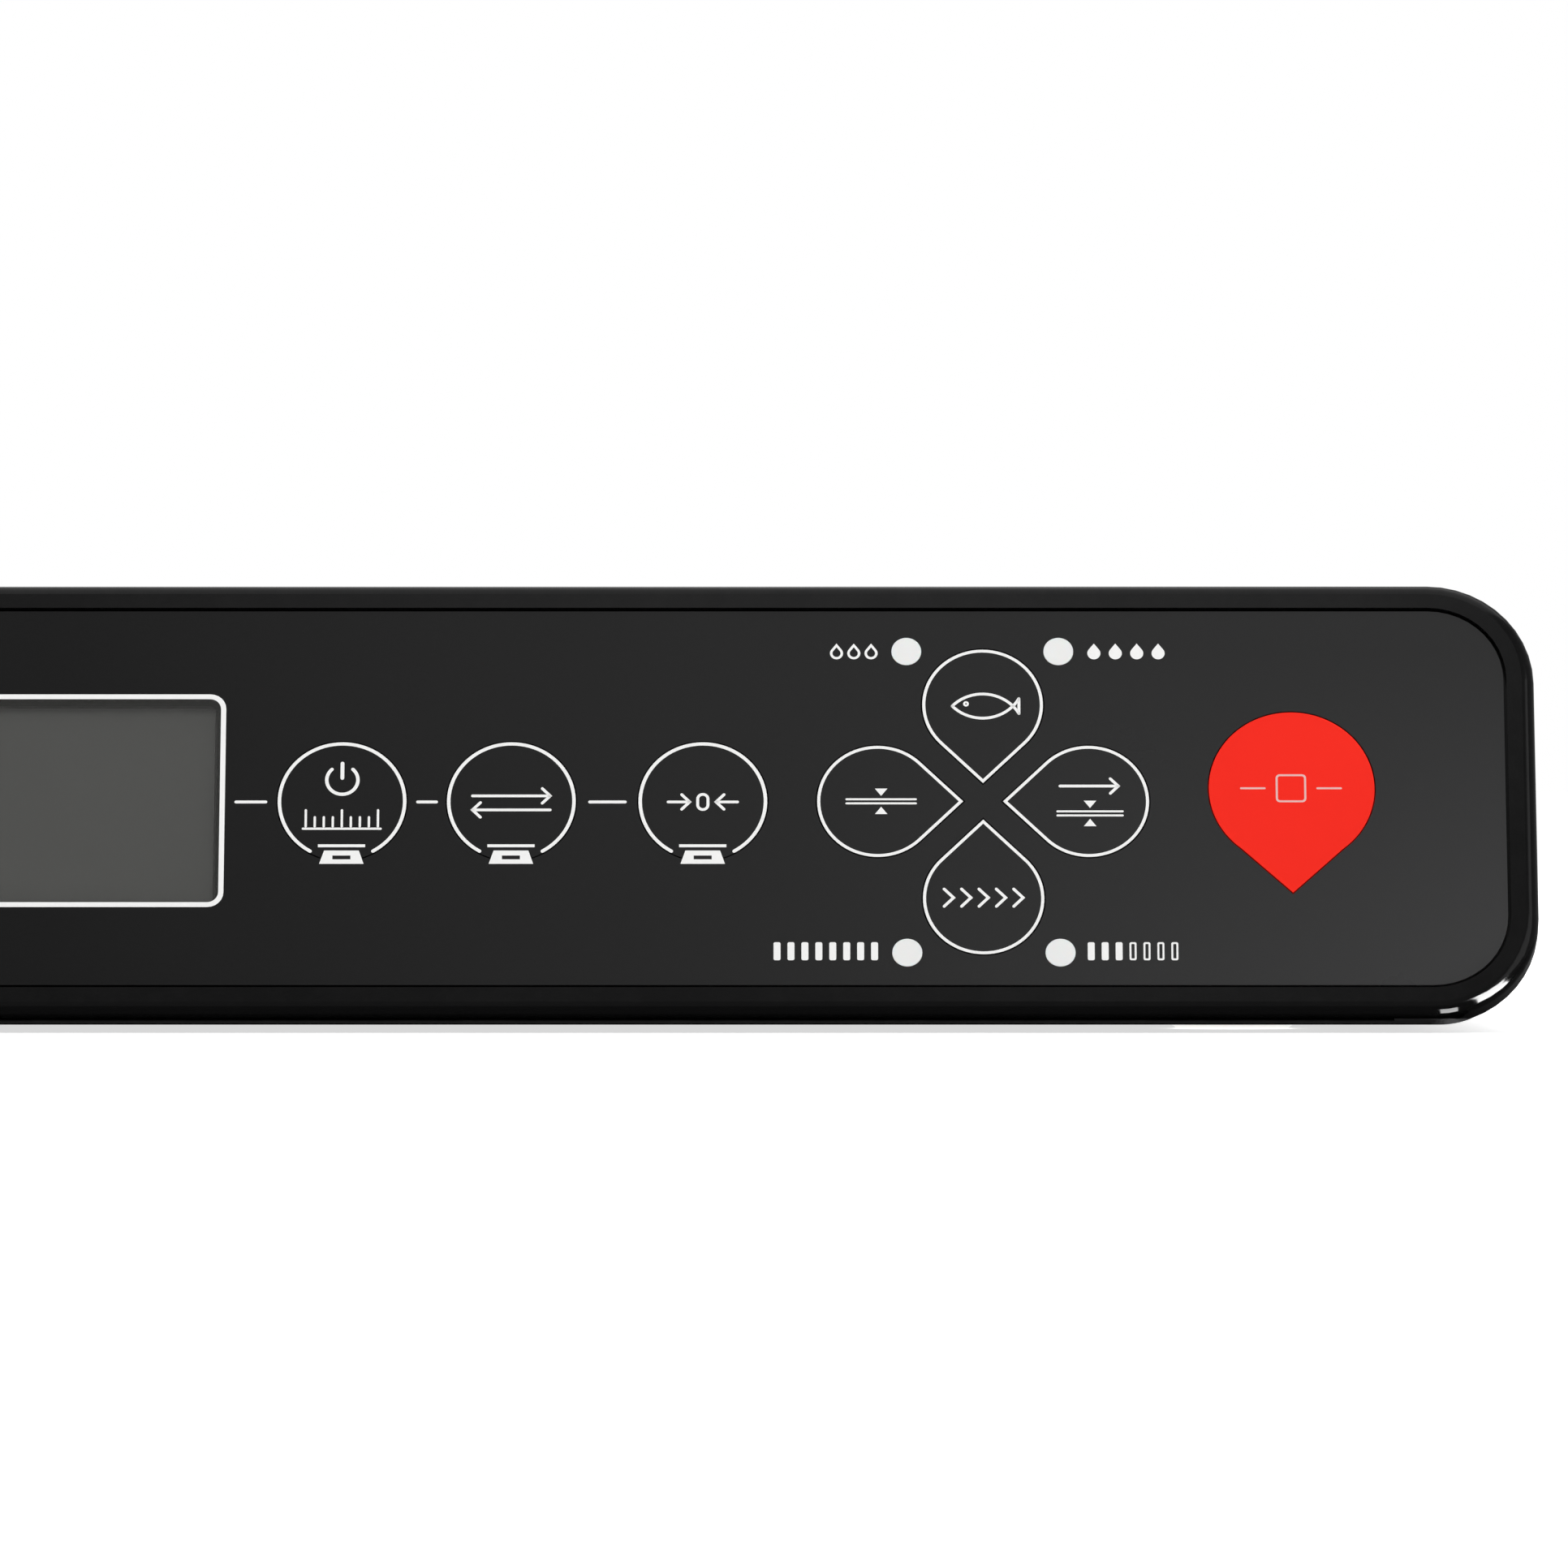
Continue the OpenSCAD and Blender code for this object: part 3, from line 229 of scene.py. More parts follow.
def group(name, numbers, outputs):
    """Empty shader group with float inputs {name: value} and outputs {name: socket type}."""
    tree = bpy.data.node_groups.new(name, "ShaderNodeTree")
    for label, value in numbers.items():
        socket = tree.interface.new_socket(label, in_out="INPUT", socket_type="NodeSocketFloat")
        socket.default_value = value
    for label, kind in outputs.items():
        tree.interface.new_socket(label, in_out="OUTPUT", socket_type=kind)
    return tree, tree.nodes.new("NodeGroupInput"), tree.nodes.new("NodeGroupOutput")


def math_node(tree, operation, first, second):
    node = tree.nodes.new("ShaderNodeMath")
    node.operation = operation
    for socket, value in zip(node.inputs, (first, second)):
        if isinstance(value, (int, float)):
            socket.default_value = value
        else:
            tree.links.new(value, socket)
    return node.outputs[0]


def noise_node(tree, vector, scale, detail, roughness=0.5):
    node = tree.nodes.new("ShaderNodeTexNoise")
    node.inputs["Detail"].default_value = detail
    node.inputs["Roughness"].default_value = roughness
    tree.links.new(vector, node.inputs["Vector"])
    if isinstance(scale, (int, float)):
        node.inputs["Scale"].default_value = scale
    else:
        tree.links.new(scale, node.inputs["Scale"])
    return node.outputs["Fac"]


def ramp(tree, value, start, end):
    """0 where value is start or before it, 1 from end on."""
    node = tree.nodes.new("ShaderNodeMapRange")
    tree.links.new(value, node.inputs["Value"])
    node.inputs["From Min"].default_value = start
    node.inputs["From Max"].default_value = end
    return node.outputs[0]


def object_place(tree):
    return tree.nodes.new("ShaderNodeTexCoord").outputs["Object"]


def stretched(tree, vector, factors):
    node = tree.nodes.new("ShaderNodeMapping")
    node.inputs["Scale"].default_value = factors
    tree.links.new(vector, node.inputs["Vector"])
    return node.outputs["Vector"]


def make_grain():
    """Eroded texture of a moulding tool: pits between flat grains."""
    tree, source, sink = group("mould_grain", {"Scale": 900, "Depth": 1}, {"Height": "NodeSocketFloat"})
    place = object_place(tree)
    cells = tree.nodes.new("ShaderNodeTexVoronoi")
    cells.feature = "SMOOTH_F1"
    tree.links.new(place, cells.inputs["Vector"])
    tree.links.new(source.outputs["Scale"], cells.inputs["Scale"])
    double = math_node(tree, "MULTIPLY", source.outputs["Scale"], 2.3)
    fine = noise_node(tree, place, double, 4, 0.6)
    both = math_node(tree, "ADD", cells.outputs["Distance"], fine)
    tree.links.new(math_node(tree, "MULTIPLY", both, source.outputs["Depth"]), sink.inputs["Height"])
    return tree


def make_smudge():
    """Slow change over a surface, from handling and from the moulding."""
    tree, source, sink = group(
        "handling", {"Scale": 14, "Low": 0.3, "High": 0.4}, {"Value": "NodeSocketFloat"})
    place = object_place(tree)
    slow = noise_node(tree, place, source.outputs["Scale"], 5, 0.62)
    span = math_node(tree, "SUBTRACT", source.outputs["High"], source.outputs["Low"])
    change = math_node(tree, "MULTIPLY", slow, span)
    tree.links.new(math_node(tree, "ADD", change, source.outputs["Low"]), sink.inputs["Value"])
    return tree


def make_dust():
    """Mask of fine dust that lies on faces turned upwards."""
    tree, source, sink = group("dust", {"Amount": 0.1, "Scale": 60}, {"Mask": "NodeSocketFloat"})
    facing = tree.nodes.new("ShaderNodeSeparateXYZ")
    tree.links.new(tree.nodes.new("ShaderNodeNewGeometry").outputs["Normal"], facing.inputs[0])
    up = math_node(tree, "MAXIMUM", facing.outputs["Z"], 0.0)
    place = object_place(tree)
    specks = noise_node(tree, place, source.outputs["Scale"], 8, 0.7)
    lifted = math_node(tree, "SUBTRACT", specks, DUST_START)
    held = math_node(tree, "MULTIPLY", math_node(tree, "MAXIMUM", lifted, 0.0), up)
    tree.links.new(math_node(tree, "MULTIPLY", held, source.outputs["Amount"]), sink.inputs["Mask"])
    return tree


def make_wear():
    """Mask of rubbed edges, broken up by noise."""
    tree, source, sink = group("edge_wear", {"Amount": 1.0}, {"Mask": "NodeSocketFloat"})
    ridge = tree.nodes.new("ShaderNodeNewGeometry").outputs["Pointiness"]
    raised = math_node(tree, "MULTIPLY", math_node(tree, "SUBTRACT", ridge, WEAR_START), WEAR_GAIN)
    patchy = noise_node(tree, object_place(tree), WEAR_PATCHES, 6, 0.7)
    rubbed = math_node(tree, "MULTIPLY", math_node(tree, "MAXIMUM", raised, 0.0), patchy)
    scaled = math_node(tree, "MULTIPLY", rubbed, source.outputs["Amount"])
    tree.links.new(math_node(tree, "MINIMUM", scaled, 1.0), sink.inputs["Mask"])
    return tree


def make_brushing():
    """Height of fine scratches that run along x."""
    tree, source, sink = group("brushing", {"Scale": 90}, {"Height": "NodeSocketFloat"})
    lines = stretched(tree, object_place(tree), BRUSH_STRETCH)
    fine = noise_node(tree, lines, source.outputs["Scale"], 6, 0.65)
    tree.links.new(fine, sink.inputs["Height"])
    return tree


def make_weave():
    """Plain weave of fine yarn, as in coated glass cloth."""
    tree, source, sink = group("weave", {"Scale": 900}, {"Height": "NodeSocketFloat"})
    place = object_place(tree)
    waves = []
    for direction in ("X", "Y"):
        node = tree.nodes.new("ShaderNodeTexWave")
        node.bands_direction = direction
        tree.links.new(place, node.inputs["Vector"])
        tree.links.new(source.outputs["Scale"], node.inputs["Scale"])
        node.inputs["Distortion"].default_value = 0.4
        waves.append(node.outputs["Fac"])
    tree.links.new(math_node(tree, "MAXIMUM", *waves), sink.inputs["Height"])
    return tree


GRAIN = make_grain()
SMUDGE = make_smudge()
DUST = make_dust()
WEAR = make_wear()
BRUSHING = make_brushing()
WEAVE = make_weave()


# ---------- materials ----------

DUST_GREY = (0.32, 0.31, 0.3)


class Finish:
    """One material: a Principled shader with small helpers that feed its sockets."""

    def __init__(self, name, colour, roughness, metallic=0.0, specular=0.5):
        self.material = bpy.data.materials.new(name)
        self.material.use_nodes = True
        self.tree = self.material.node_tree
        self.shader = self.tree.nodes["Principled BSDF"]
        self.colour = colour
        self.set("Base Color", (*colour, 1))
        self.set("Roughness", roughness)
        self.set("Metallic", metallic)
        self.set("Specular IOR Level", specular)

    def set(self, socket, value):
        self.shader.inputs[socket].default_value = value

    def link(self, output, socket):
        self.tree.links.new(output, self.shader.inputs[socket])

    def use(self, tree, **values):
        node = self.tree.nodes.new("ShaderNodeGroup")
        node.node_tree = tree
        for label, value in values.items():
            node.inputs[label.capitalize()].default_value = value
        return node.outputs[0]

    def mix(self, factor, first, second):
        """Colour between two colours or sockets, by a mask."""
        node = self.tree.nodes.new("ShaderNodeMix")
        node.data_type = "RGBA"
        self.tree.links.new(factor, node.inputs["Factor"])
        for socket, value in ((node.inputs[6], first), (node.inputs[7], second)):
            if isinstance(value, tuple):
                socket.default_value = (*value, 1)
            else:
                self.tree.links.new(value, socket)
        return node.outputs[2]

    def bump(self, height, distance, strength=1.0):
        node = self.tree.nodes.new("ShaderNodeBump")
        node.inputs["Distance"].default_value = distance
        node.inputs["Strength"].default_value = strength
        self.tree.links.new(height, node.inputs["Height"])
        self.link(node.outputs["Normal"], "Normal")

    def handled(self, low, high, scale=14):
        self.link(self.use(SMUDGE, scale=scale, low=low, high=high), "Roughness")

    def worn_and_dusty(self, worn, wear=0.7, dust=0.1):
        """Edges rubbed to the colour worn, and grey dust on faces turned upwards."""
        rubbed = self.mix(self.use(WEAR, amount=wear), self.colour, worn)
        self.link(self.mix(self.use(DUST, amount=dust, scale=240), rubbed, DUST_GREY), "Base Color")


def moulded_plastic(name, colour, grain=1.0, low=0.42, high=0.52, worn=0.05, specular=0.4):
    finish = Finish(name, colour, low, specular=specular)
    finish.handled(low, high)
    finish.bump(finish.use(GRAIN, scale=900, depth=grain), 0.00004, 0.5)
    finish.worn_and_dusty(tuple(c + worn for c in colour))
    return finish.material


def gloss_black():
    """Glossy bezel: nearly black, with faint handling marks."""
    finish = Finish("bezel_gloss", (0.0042, 0.0042, 0.0043), 0.12, specular=0.11)
    finish.handled(0.07, 0.16, 18)
    finish.worn_and_dusty((0.02, 0.02, 0.02), 0.5, 0.06)
    return finish.material


def film(name, dark, light):
    """Satin film whose charcoal is lightened softly towards the lower right: a painted reflection of a soft
    lamp.
    """
    finish = Finish(name, dark, 0.24, specular=0.12)
    tree = finish.tree
    parts = tree.nodes.new("ShaderNodeSeparateXYZ")
    tree.links.new(object_place(tree), parts.inputs[0])
    # painted reflection: lighter across to the right, and more so at the lower right corner; the noise
    # below adds random tone on top
    across = ramp(tree, parts.outputs["X"], 0.0, 0.21)
    down = ramp(tree, parts.outputs["Z"], 0.055, 0.005)
    corner = math_node(tree, "MULTIPLY", math_node(tree, "POWER", across, 3.0), down)
    painted_sheen = math_node(tree, "ADD", math_node(tree, "MULTIPLY", across, 0.52),
                       math_node(tree, "MULTIPLY", corner, 0.62))
    cloud = noise_node(tree, object_place(tree), 9, 3)
    drift = math_node(tree, "MULTIPLY", math_node(tree, "SUBTRACT", cloud, 0.5), 0.1)
    sheen_and_tone = ramp(tree, math_node(tree, "ADD", painted_sheen, drift), 0.0, 1.0)
    finish.link(finish.mix(sheen_and_tone, dark, light), "Base Color")
    finish.handled(0.24, 0.34, 22)
    finish.bump(finish.use(GRAIN, scale=2600, depth=1.0), 0.00001, 0.35)
    return finish.material


def print_ink(name, colour):
    """Screen-printed ink, slightly uneven, with a faint painted glow that brightens it."""
    finish = Finish(name, colour, 0.5)
    shade = tuple(c * 0.93 for c in colour)
    finish.link(finish.mix(finish.use(SMUDGE, scale=700, low=0.0, high=1.0), colour, shade),
                "Base Color")
    # painted light: the ink glows faintly, though it gives off no light of its own
    finish.set("Emission Color", (*colour, 1))
    finish.set("Emission Strength", 0.14)
    finish.bump(finish.use(GRAIN, scale=3000, depth=1.0), 0.00001, 0.3)
    return finish.material


def stop_red():
    finish = Finish("stop_red", (0.94, 0.02, 0.009), 0.35, specular=0.12)
    finish.link(finish.mix(finish.use(SMUDGE, scale=60, low=0.0, high=1.0),
                           (0.97, 0.022, 0.009), (0.91, 0.018, 0.008)), "Base Color")
    # painted light: the red key glows faintly, though it gives off no light of its own
    finish.set("Emission Color", (1.0, 0.012, 0.006, 1))
    finish.set("Emission Strength", 0.06)
    finish.handled(0.3, 0.42, 30)
    finish.bump(finish.use(GRAIN, scale=2600, depth=1.0), 0.00001, 0.3)
    return finish.material


def lamp_white():
    """Milky ends of the light pipes, with a faint painted glow that brightens them."""
    finish = Finish("light_white", (0.79, 0.79, 0.78), 0.35, specular=0.3)
    finish.set("Subsurface Weight", 0.2)
    finish.set("Subsurface Scale", 0.001)
    # painted light: a faint glow that brightens the milky ends
    finish.set("Emission Color", (1, 1, 0.98, 1))
    finish.set("Emission Strength", 0.12)
    finish.handled(0.3, 0.45, 200)
    return finish.material


def smoked_glass():
    finish = Finish("window_clear", (0.09, 0.09, 0.085), 0.12, specular=0.35)
    finish.set("Alpha", 0.3)
    finish.handled(0.08, 0.18, 30)
    return finish.material


def display_grey():
    """Unlit liquid-crystal glass: grey-green, with a painted shadow of the window's top edge as a darker
    band under it.
    """
    finish = Finish("display_grey", (0.15, 0.152, 0.14), 0.4)
    parts = finish.tree.nodes.new("ShaderNodeSeparateXYZ")
    finish.tree.links.new(object_place(finish.tree), parts.inputs[0])
    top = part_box("display_window")[1].z
    # painted shadow: the band below the top edge is darkened, as the recess's rim would shade it
    shade = ramp(finish.tree, parts.outputs["Z"], top - 3.0 * MM, top - 2.2 * MM)
    cloud = finish.mix(finish.use(SMUDGE, scale=45, low=0.0, high=1.0),
                       (0.134, 0.136, 0.128), (0.158, 0.16, 0.151))
    finish.link(finish.mix(shade, cloud, (0.068, 0.069, 0.067)), "Base Color")
    finish.handled(0.35, 0.5, 40)
    return finish.material


def metal(name, colour, low, high, brushed=False):
    finish = Finish(name, colour, low, metallic=1.0)
    if brushed:
        streaks = finish.use(BRUSHING, scale=90)
        finish.bump(streaks, 0.00002, 0.2)
        finish.link(finish.mix(streaks, tuple(c * 0.86 for c in colour), colour), "Base Color")
    else:
        finish.bump(finish.use(GRAIN, scale=1500, depth=0.6), 0.00002, 0.4)
        finish.worn_and_dusty(tuple(min(1, c * 1.15) for c in colour), 0.6, 0.15)
    finish.handled(low, high, 25)
    return finish.material


def rubber(name, colour, scale=1800, depth=1.2):
    finish = Finish(name, colour, 0.75, specular=0.3)
    finish.handled(0.66, 0.82, 40)
    finish.bump(finish.use(GRAIN, scale=scale, depth=depth), 0.0001, 0.6)
    finish.worn_and_dusty(tuple(c + 0.03 for c in colour), 0.6, 0.5)
    return finish.material


def glass_cloth():
    """Brown coated cloth over the sealing bar, with its weave showing."""
    finish = Finish("glass_cloth", (0.27, 0.17, 0.09), 0.5)
    cloth = finish.use(WEAVE, scale=260)
    finish.link(finish.mix(cloth, (0.2, 0.12, 0.06), (0.32, 0.21, 0.115)), "Base Color")
    finish.bump(cloth, 0.00005, 0.8)
    finish.handled(0.4, 0.55, 30)
    return finish.material


def circuit_board():
    """Green solder mask with traces and rows of solder."""
    finish = Finish("circuit_green", (0.012, 0.09, 0.03), 0.35)
    bricks = finish.tree.nodes.new("ShaderNodeTexBrick")
    finish.tree.links.new(object_place(finish.tree), bricks.inputs["Vector"])
    for label, value in (("Scale", 150), ("Mortar Size", 0.035), ("Brick Width", 1.4),
                         ("Row Height", 0.4)):
        bricks.inputs[label].default_value = value
    bricks.inputs["Color1"].default_value = (0.012, 0.09, 0.03, 1)
    bricks.inputs["Color2"].default_value = (0.014, 0.1, 0.035, 1)
    bricks.inputs["Mortar"].default_value = (0.03, 0.19, 0.07, 1)
    finish.link(bricks.outputs["Color"], "Base Color")
    finish.bump(bricks.outputs["Fac"], 0.00003, 0.5)
    finish.handled(0.28, 0.42, 40)
    return finish.material


def windings():
    """Copper turns under yellow tape, side by side."""
    finish = Finish("windings", (0.55, 0.38, 0.06), 0.4)
    turns = finish.tree.nodes.new("ShaderNodeTexWave")
    turns.bands_direction = "Z"
    finish.tree.links.new(object_place(finish.tree), turns.inputs["Vector"])
    turns.inputs["Scale"].default_value = 420
    finish.link(finish.mix(turns.outputs["Fac"], (0.4, 0.24, 0.03), (0.62, 0.45, 0.1)), "Base Color")
    finish.bump(turns.outputs["Fac"], 0.0001, 0.6)
    finish.handled(0.3, 0.5, 40)
    return finish.material


def clear_silicone(name, colour, glow=0.0):
    """Milky silicone. The glow stands for light that passes through a thin foot."""
    finish = Finish(name, colour, 0.4)
    finish.set("Emission Color", (*colour, 1))
    finish.set("Emission Strength", glow)
    finish.set("Subsurface Weight", 0.3)
    finish.set("Subsurface Scale", 0.002)
    finish.handled(0.32, 0.5, 60)
    finish.bump(finish.use(GRAIN, scale=500, depth=0.6), 0.00003, 0.4)
    return finish.material


def sleeved(name, colour, band):
    """Shrink sleeve of a capacitor, with a pale stripe down one side."""
    finish = Finish(name, colour, 0.3)
    stripe = finish.tree.nodes.new("ShaderNodeTexWave")
    stripe.bands_direction = "X"
    finish.tree.links.new(object_place(finish.tree), stripe.inputs["Vector"])
    stripe.inputs["Scale"].default_value = 18
    edge = math_node(finish.tree, "GREATER_THAN", stripe.outputs["Fac"], 0.93)
    finish.link(finish.mix(edge, colour, band), "Base Color")
    finish.handled(0.25, 0.4, 60)
    return finish.material


HOUSING = (0.014, 0.014, 0.015)
INK_WHITE = print_ink("print_white", (0.88, 0.88, 0.87))
INK_PINK = print_ink("print_pale", (0.76, 0.45, 0.43))
# The lighter of the two colours is the painted reflection that the film reaches towards its lower right.
PANEL_FILM = film("panel_film", (0.0048, 0.0048, 0.0049), (0.043, 0.043, 0.0433))
FINISHES = {
    gloss_black(): ["front_bezel"],
    PANEL_FILM: ["panel_overlay", "scale_key", "mode_key", "tare_key", "food_key", "seal_key",
                 "vacuum_seal_key", "speed_key"],
    stop_red(): ["stop_key"],
    lamp_white(): ["light_pipes"],
    smoked_glass(): ["display_window"],
    display_grey(): ["display_module"],
    moulded_plastic("housing_upper", HOUSING): ["upper_housing"],
    moulded_plastic("housing_lower", (0.004, 0.004, 0.0042), 1.2, 0.5, 0.6, 0.02, 0.12): [
        "lower_housing"],
    moulded_plastic("lid_satin", (0.011, 0.011, 0.0115), 0.7, 0.3, 0.4): ["lid_shell"],
    moulded_plastic("liner_satin", (0.028, 0.028, 0.029), 0.5, 0.4, 0.5): ["lid_liner"],
    moulded_plastic("deck_matt", (0.02, 0.02, 0.021), 1.0, 0.5, 0.6): ["seal_deck"],
    moulded_plastic("tray_satin", (0.075, 0.076, 0.08), 0.5, 0.34, 0.46): ["drip_tray"],
    moulded_plastic("slider_satin", (0.05, 0.05, 0.053), 0.8, 0.36, 0.46): [
        "left_lock_slider", "right_lock_slider"],
    moulded_plastic("bar_insulator", (0.22, 0.18, 0.13), 0.8, 0.5, 0.62): ["sealing_bar"],
    moulded_plastic("natural_nylon", (0.6, 0.59, 0.54), 0.5, 0.4, 0.5, worn=0.1): [
        "vacuum_port", "platform_carrier"],
    moulded_plastic("stand_grey", (0.16, 0.16, 0.17), 0.8): ["load_cell_stand"],
    moulded_plastic("inner_black", (0.02, 0.02, 0.022), 0.8): [
        "key_switches", "pump_head", "release_valve"],
    moulded_plastic("inlet_black", (0.013, 0.013, 0.013), 0.6, 0.38, 0.46): ["power_inlet"],
    moulded_plastic("switch_red", (0.3, 0.02, 0.012), 0.5): ["lid_switch"],
    rubber("foam_black", (0.014, 0.014, 0.014), 1500, 2.0): ["lower_gasket", "upper_gasket"],
    rubber("silicone_red", (0.42, 0.05, 0.03), 1200, 0.5): ["press_strip"],
    glass_cloth(): ["release_tape"],
    clear_silicone("hose_silicone", (0.62, 0.62, 0.57)): ["air_tube"],
    clear_silicone("foot_silicone", (0.84, 0.84, 0.82), 0.75): ["feet"],
    circuit_board(): ["control_board", "power_board"],
    windings(): ["transformer"],
    sleeved("capacitor_sleeve", (0.012, 0.016, 0.05), (0.5, 0.52, 0.55)): ["capacitors"],
    metal("resistance_strip", (0.5, 0.47, 0.43), 0.3, 0.42, True): ["heating_wire"],
    metal("zinc_plate", (0.5, 0.51, 0.53), 0.34, 0.46): [
        "lid_lugs", "housing_screws", "board_screws", "load_cell_screws", "pump_motor"],
    metal("ground_steel", (0.62, 0.62, 0.63), 0.2, 0.3, True): ["hinge_pins"],
    metal("brushed_steel", (0.42, 0.424, 0.43), 0.32, 0.4, True): ["scale_platform"],
    metal("milled_aluminium", (0.78, 0.79, 0.8), 0.3, 0.42, True): ["load_cell"],
}


def dress_nodes():
    for material, names in FINISHES.items():
        for name in names:
            mesh = nodes[name].data
            mesh.materials.clear()
            mesh.materials.append(material)


# ---------- shells with softened edges, in place of the constructed ones ----------

SEAM = 0.5 * MM
REAR_CORNER = 7 * MM
SMALL_RADII = {"lid_shell": 0.6 * MM, "seal_deck": 0.35 * MM, "drip_tray": 0.3 * MM,
               "power_inlet": 0.35 * MM}
SLIDER_RADIUS = 0.2 * MM
GROOVES = 5
GROOVE_STEP = 2.4 * MM
GROOVE_HALF = 0.5 * MM
GROOVE_END = 1.6 * MM
LIP_START_X = 194.0
LIP_END_X = 200.5
LIP_ROUND = 12.0
LIP_THICK = 2.0
LIP_BACK = 1.3


def deselect():
    bpy.ops.object.select_all(action="DESELECT")


def pick(thing):
    deselect()
    thing.select_set(True)
    bpy.context.view_layer.objects.active = thing


def merged_copy(node):
    """Copy of a node with its faces joined up and its flat parts in one piece."""
    copy = bpy.data.objects.new(f"{node}_soft", nodes[node].data.copy())
    copy.data.name = copy.name
    bpy.context.collection.objects.link(copy)
    pick(copy)
    bpy.ops.object.mode_set(mode="EDIT")
    bpy.ops.mesh.select_all(action="SELECT")
    bpy.ops.mesh.remove_doubles(threshold=0.000002)
    bpy.ops.mesh.dissolve_limited(angle_limit=math.radians(0.3))
    bpy.ops.object.mode_set(mode="OBJECT")
    bpy.ops.mesh.customdata_custom_splitnormals_clear()
    return copy


def apply(thing, kind, **settings):
    modifier = thing.modifiers.new(kind.lower(), kind)
    for label, value in settings.items():
        setattr(modifier, label, value)
    pick(thing)
    bpy.ops.object.modifier_apply(modifier=modifier.name)


def block(x0, x1, y0, y1, z0, z1):
    """Box between the given planes, in metres."""
    bpy.ops.mesh.primitive_cube_add(size=1)
    cube = bpy.context.object
    cube.scale = (x1 - x0, y1 - y0, z1 - z0)
    cube.location = ((x0 + x1) / 2, (y0 + y1) / 2, (z0 + z1) / 2)
    bpy.ops.object.transform_apply(location=True, rotation=True, scale=True)
    return cube


def cut(thing, tool, operation="DIFFERENCE"):
    apply(thing, "BOOLEAN", object=tool, operation=operation, solver="EXACT")
    bpy.data.objects.remove(tool)


def plan_outline():
    """Block round the housings, seen from above, with its rear corners rounded."""
    low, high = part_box("upper_housing")
    spare = 0.02 * MM
    around = block(low.x - spare, high.x + spare, low.y - 0.1, high.y + spare, -0.05, 0.2)
    bpy.ops.object.mode_set(mode="EDIT")
    bpy.ops.mesh.select_mode(type="EDGE")
    bpy.ops.mesh.select_all(action="DESELECT")
    bpy.ops.object.mode_set(mode="OBJECT")
    points = around.data.vertices
    for edge in around.data.edges:
        ends = [points[i].co for i in edge.vertices]
        upright = abs(ends[0].z - ends[1].z) > 0.1
        edge.select = upright and min(e.y for e in ends) > high.y - 0.01
    bpy.ops.object.mode_set(mode="EDIT")
    bpy.ops.mesh.bevel(offset=REAR_CORNER, segments=8)
    bpy.ops.object.mode_set(mode="OBJECT")
    return around


def finish_shell(copy, node, width, segments=2):
    """Rounds the sharp edges, evens the shading and puts the copy in the node's place."""
    apply(copy, "BEVEL", width=width, segments=segments, limit_method="ANGLE",
          angle_limit=math.radians(30), use_clamp_overlap=False)
    pick(copy)
    bpy.ops.object.shade_smooth_by_angle(angle=math.radians(40))
    apply(copy, "WEIGHTED_NORMAL", keep_sharp=True, weight=80)
    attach(copy, nodes[node]["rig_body"])
    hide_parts(node)


def soften_housings():
    for node in ("upper_housing", "lower_housing"):
        shell = merged_copy(node)
        cut(shell, plan_outline(), "INTERSECT")
        finish_shell(shell, node, SEAM)


def soften_rest():
    """Small radii on the mouldings that show once the lid is open."""
    for node, width in SMALL_RADII.items():
        finish_shell(merged_copy(node), node, width)


def groove_sliders():
    """Finger grooves across the outer face of each lock slider's tab."""
    for node in ("left_lock_slider", "right_lock_slider"):
        slider = merged_copy(node)
        low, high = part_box(node)
        outer = low.x if high.x < 0 else high.x
        on_face = [v.co.y for v in slider.data.vertices if abs(v.co.x - outer) < 0.1 * MM]
        tab_y = (min(on_face) + max(on_face)) / 2
        for i in range(GROOVES):
            y = tab_y + (i - (GROOVES - 1) / 2) * GROOVE_STEP
            cut(slider, block(outer - GROOVE_HALF, outer + GROOVE_HALF, y - GROOVE_HALF, y + GROOVE_HALF,
                              low.z + GROOVE_END, high.z - GROOVE_END))
        finish_shell(slider, node, SLIDER_RADIUS)


def fill_lip_corners():
    """Rounded ends of the lower housing's lip, below the bezel's two lower corners."""
    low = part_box("lower_housing")[0]
    for name, side in (("lip_end_right", 1), ("lip_end_left", -1)):
        swept = arc(LIP_END_X, LIP_ROUND, LIP_ROUND, -90, -68, 8)
        outline = [(side * x, z) for x, z in [(LIP_START_X, 0), *swept, (LIP_START_X, swept[-1][1])]]
        place = Matrix.Translation((0, low.y + LIP_BACK * MM, low.z)) @ Matrix.Rotation(math.pi / 2, 4, "X")
        join(name, [flat_plate([outline], place, LIP_THICK)], nodes["lower_housing"].data.materials[0],
             "base")


# ---------- prints on the panel and keys ----------

INK_THICK = 0.03
INK_SINK = 0.01
STROKE = 0.42
FINE_STROKE = 0.3


